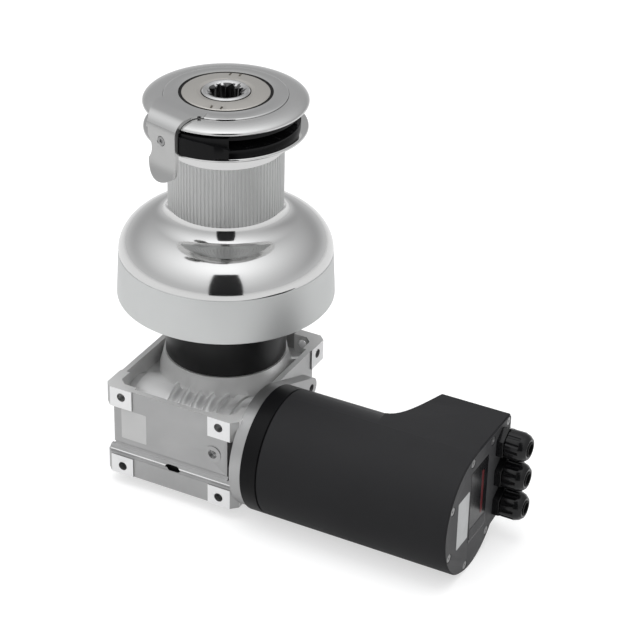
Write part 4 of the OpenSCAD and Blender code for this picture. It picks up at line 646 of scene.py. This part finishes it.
# a thin sheet with rounded corners and an eased rim; turn takes (across, up, height) to the part's frame
def addSheet(label, node, turn):
    s = sheetSizes
    thick, foot = label.get("thick", s["thick"]), label.get("lift", 0) + s["gap"]
    outline = roundedSection([(y, z, s["corner"]) for y, z in label["corners"]])
    mid = outline.mean(0)
    rings = []
    for inset, height in ((0, 0), (0, s["rim"] * thick), (s["rim"] * thick, thick)):
        flat = mid + (outline - mid) * (1 - inset / np.abs(outline - mid).max(0))
        rings.append(turn(flat[:, 0], flat[:, 1], np.full(len(flat), height + foot)))
    count = len(outline)
    caps = [list(range(count))[::-1], list(range(2 * count, 3 * count))]
    obj = makeMesh(label["name"], np.concatenate(rings) * mm, gridFaces(3, count) + caps)
    obj.data.materials.append(materials[label["finish"]])
    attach(obj, nodeBody(node))


def addLabels():
    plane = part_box("end_plate")[1][0] / mm
    for label in labels:
        addSheet(label, "end_plate",
                 lambda y, z, h: np.column_stack([plane + h, y + motorAxis[0], z + motorAxis[1]]))
    addSheet(barePatch, "gearbox_housing", lambda x, z, h: np.column_stack([x, frontFace - h, z]))


addSkirt()
addJawFlange()
addCrown()
addSpacer()
print("stage: turned pieces made")

# where faces take a second finish, in millimetres: planes of the gearbox's pads and rim, the pocket in its
# front, painted black as painted shade, its open recess, painted lighter as painted light, and stretches of
# the turned pieces, by height and radius, where the socket's inside and the arm's leg are painted darker as
# painted shade
boxSides = dict(front=-81.5, back=55.5, side=54.2, rim=-51.6)
# faces of the pocket, painted black as painted shade in the hole
pocket = dict(x=(-4.3, 8.3), y=(-np.inf, -77), z=(-108.85, -102.6))
recess = dict(x=(-49.5, 49.5), y=(-76.5, 50.5), z=(-68, -45))
neck = dict(foot=118, radius=39)
socket = dict(z=(120, 159.3), radius=12.5)
thumb = dict(top=151.5, radius=52)
plateFace = dict(place=219.9, facing=0.9)
onPlane, facingUp = 0.05, 0.95


def within(values, limits):
    return (values > limits[0]) & (values < limits[1])


def inBox(c, box):
    return within(c[:, 0], box["x"]) & within(c[:, 1], box["y"]) & within(c[:, 2], box["z"])


def onPads(c):
    planes = ((c[:, 1], "front"), (c[:, 1], "back"), (np.abs(c[:, 0]), "side"))
    return np.any([np.abs(values - boxSides[side]) < onPlane for values, side in planes], 0)


def onRim(c, n):
    return (np.abs(c[:, 2] - boxSides["rim"]) < onPlane) & (n[:, 2] > facingUp)


def fromAxis(c):
    return np.hypot(c[:, 0], c[:, 1])


# each node's second finishes, with a test on face centres and normals; the last that fits a face holds
seconds = {
    "drum": [("polished_steel", lambda c, n: (c[:, 2] > neck["foot"]) & (fromAxis(c) > neck["radius"]))],
    "gearbox_housing": [
        # painted shade: the pocket's faces take the black finish
        ("bell_black", lambda c, n: inBox(c, pocket)),
        ("machined_pad", lambda c, n: onPads(c)),
        ("machined_rim", onRim),
        # painted light in the open recess
        ("recess_painted_light", lambda c, n: inBox(c, recess) & ~onRim(c, n))],
    "drive_spindle": [
        # painted shade inside the drive socket
        ("socket_painted_shade", lambda c, n: within(c[:, 2], socket["z"]) & (fromAxis(c) < socket["radius"]))],
    "self_tailing_arm": [
        # painted shade on the arm's leg below the bend
        ("arm_painted_shade", lambda c, n: (c[:, 2] < thumb["top"]) & (fromAxis(c) > thumb["radius"]))],
    "end_plate": [
        ("plate_grey", lambda c, n: (n[:, 0] > plateFace["facing"]) & (c[:, 0] > plateFace["place"]))],
}
baseFinish = {"motor_bell": "bell_black", "end_plate": "motor_black", "end_plate_screws": "screw_steel",
              "arm_screw": "screw_steel"}
# edge rounds of the dressed nodes, in millimetres, where they differ from the plain one
plainRound = 0.25
rounds = {"gearbox_housing": 0.5, "self_tailing_arm": 0.15, "motor_case": 0.6, "end_plate": 0.5,
          "motor_bell": 0.5, "gland_bodies": 0.35, "gland_caps": 0.4, "line_stripper": 0.5, "top_cap": 0.3,
          "drum": 0.12, "armature_windings": 0.0, "jaw_springs": 0.0}
# sizes of the springs under the crown: top, height and the upper jaw's travel, and the share of the height
# left at full travel
springs = dict(top=150.2, height=4.5, travel=2.0)
springs["keep"] = (springs["height"] - springs["travel"]) / springs["height"]
made = {"drum_skirt", "lower_jaw_flange", "crown", "spacer_column"}
for nodeName in frame["nodes"]:
    if nodeName in made:
        continue
    extra = [(materials[finish], test) for finish, test in seconds.get(nodeName, ())]
    finish = baseFinish.get(nodeName, nodeSlots[nodeName])
    piece = dressNode(nodeName, materials[finish], rounds.get(nodeName, plainRound), extra=extra)
    if nodeName == "jaw_springs":
        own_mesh(piece)
addLabels()
print("stage: nodes dressed")

addCamera()
addStudio()
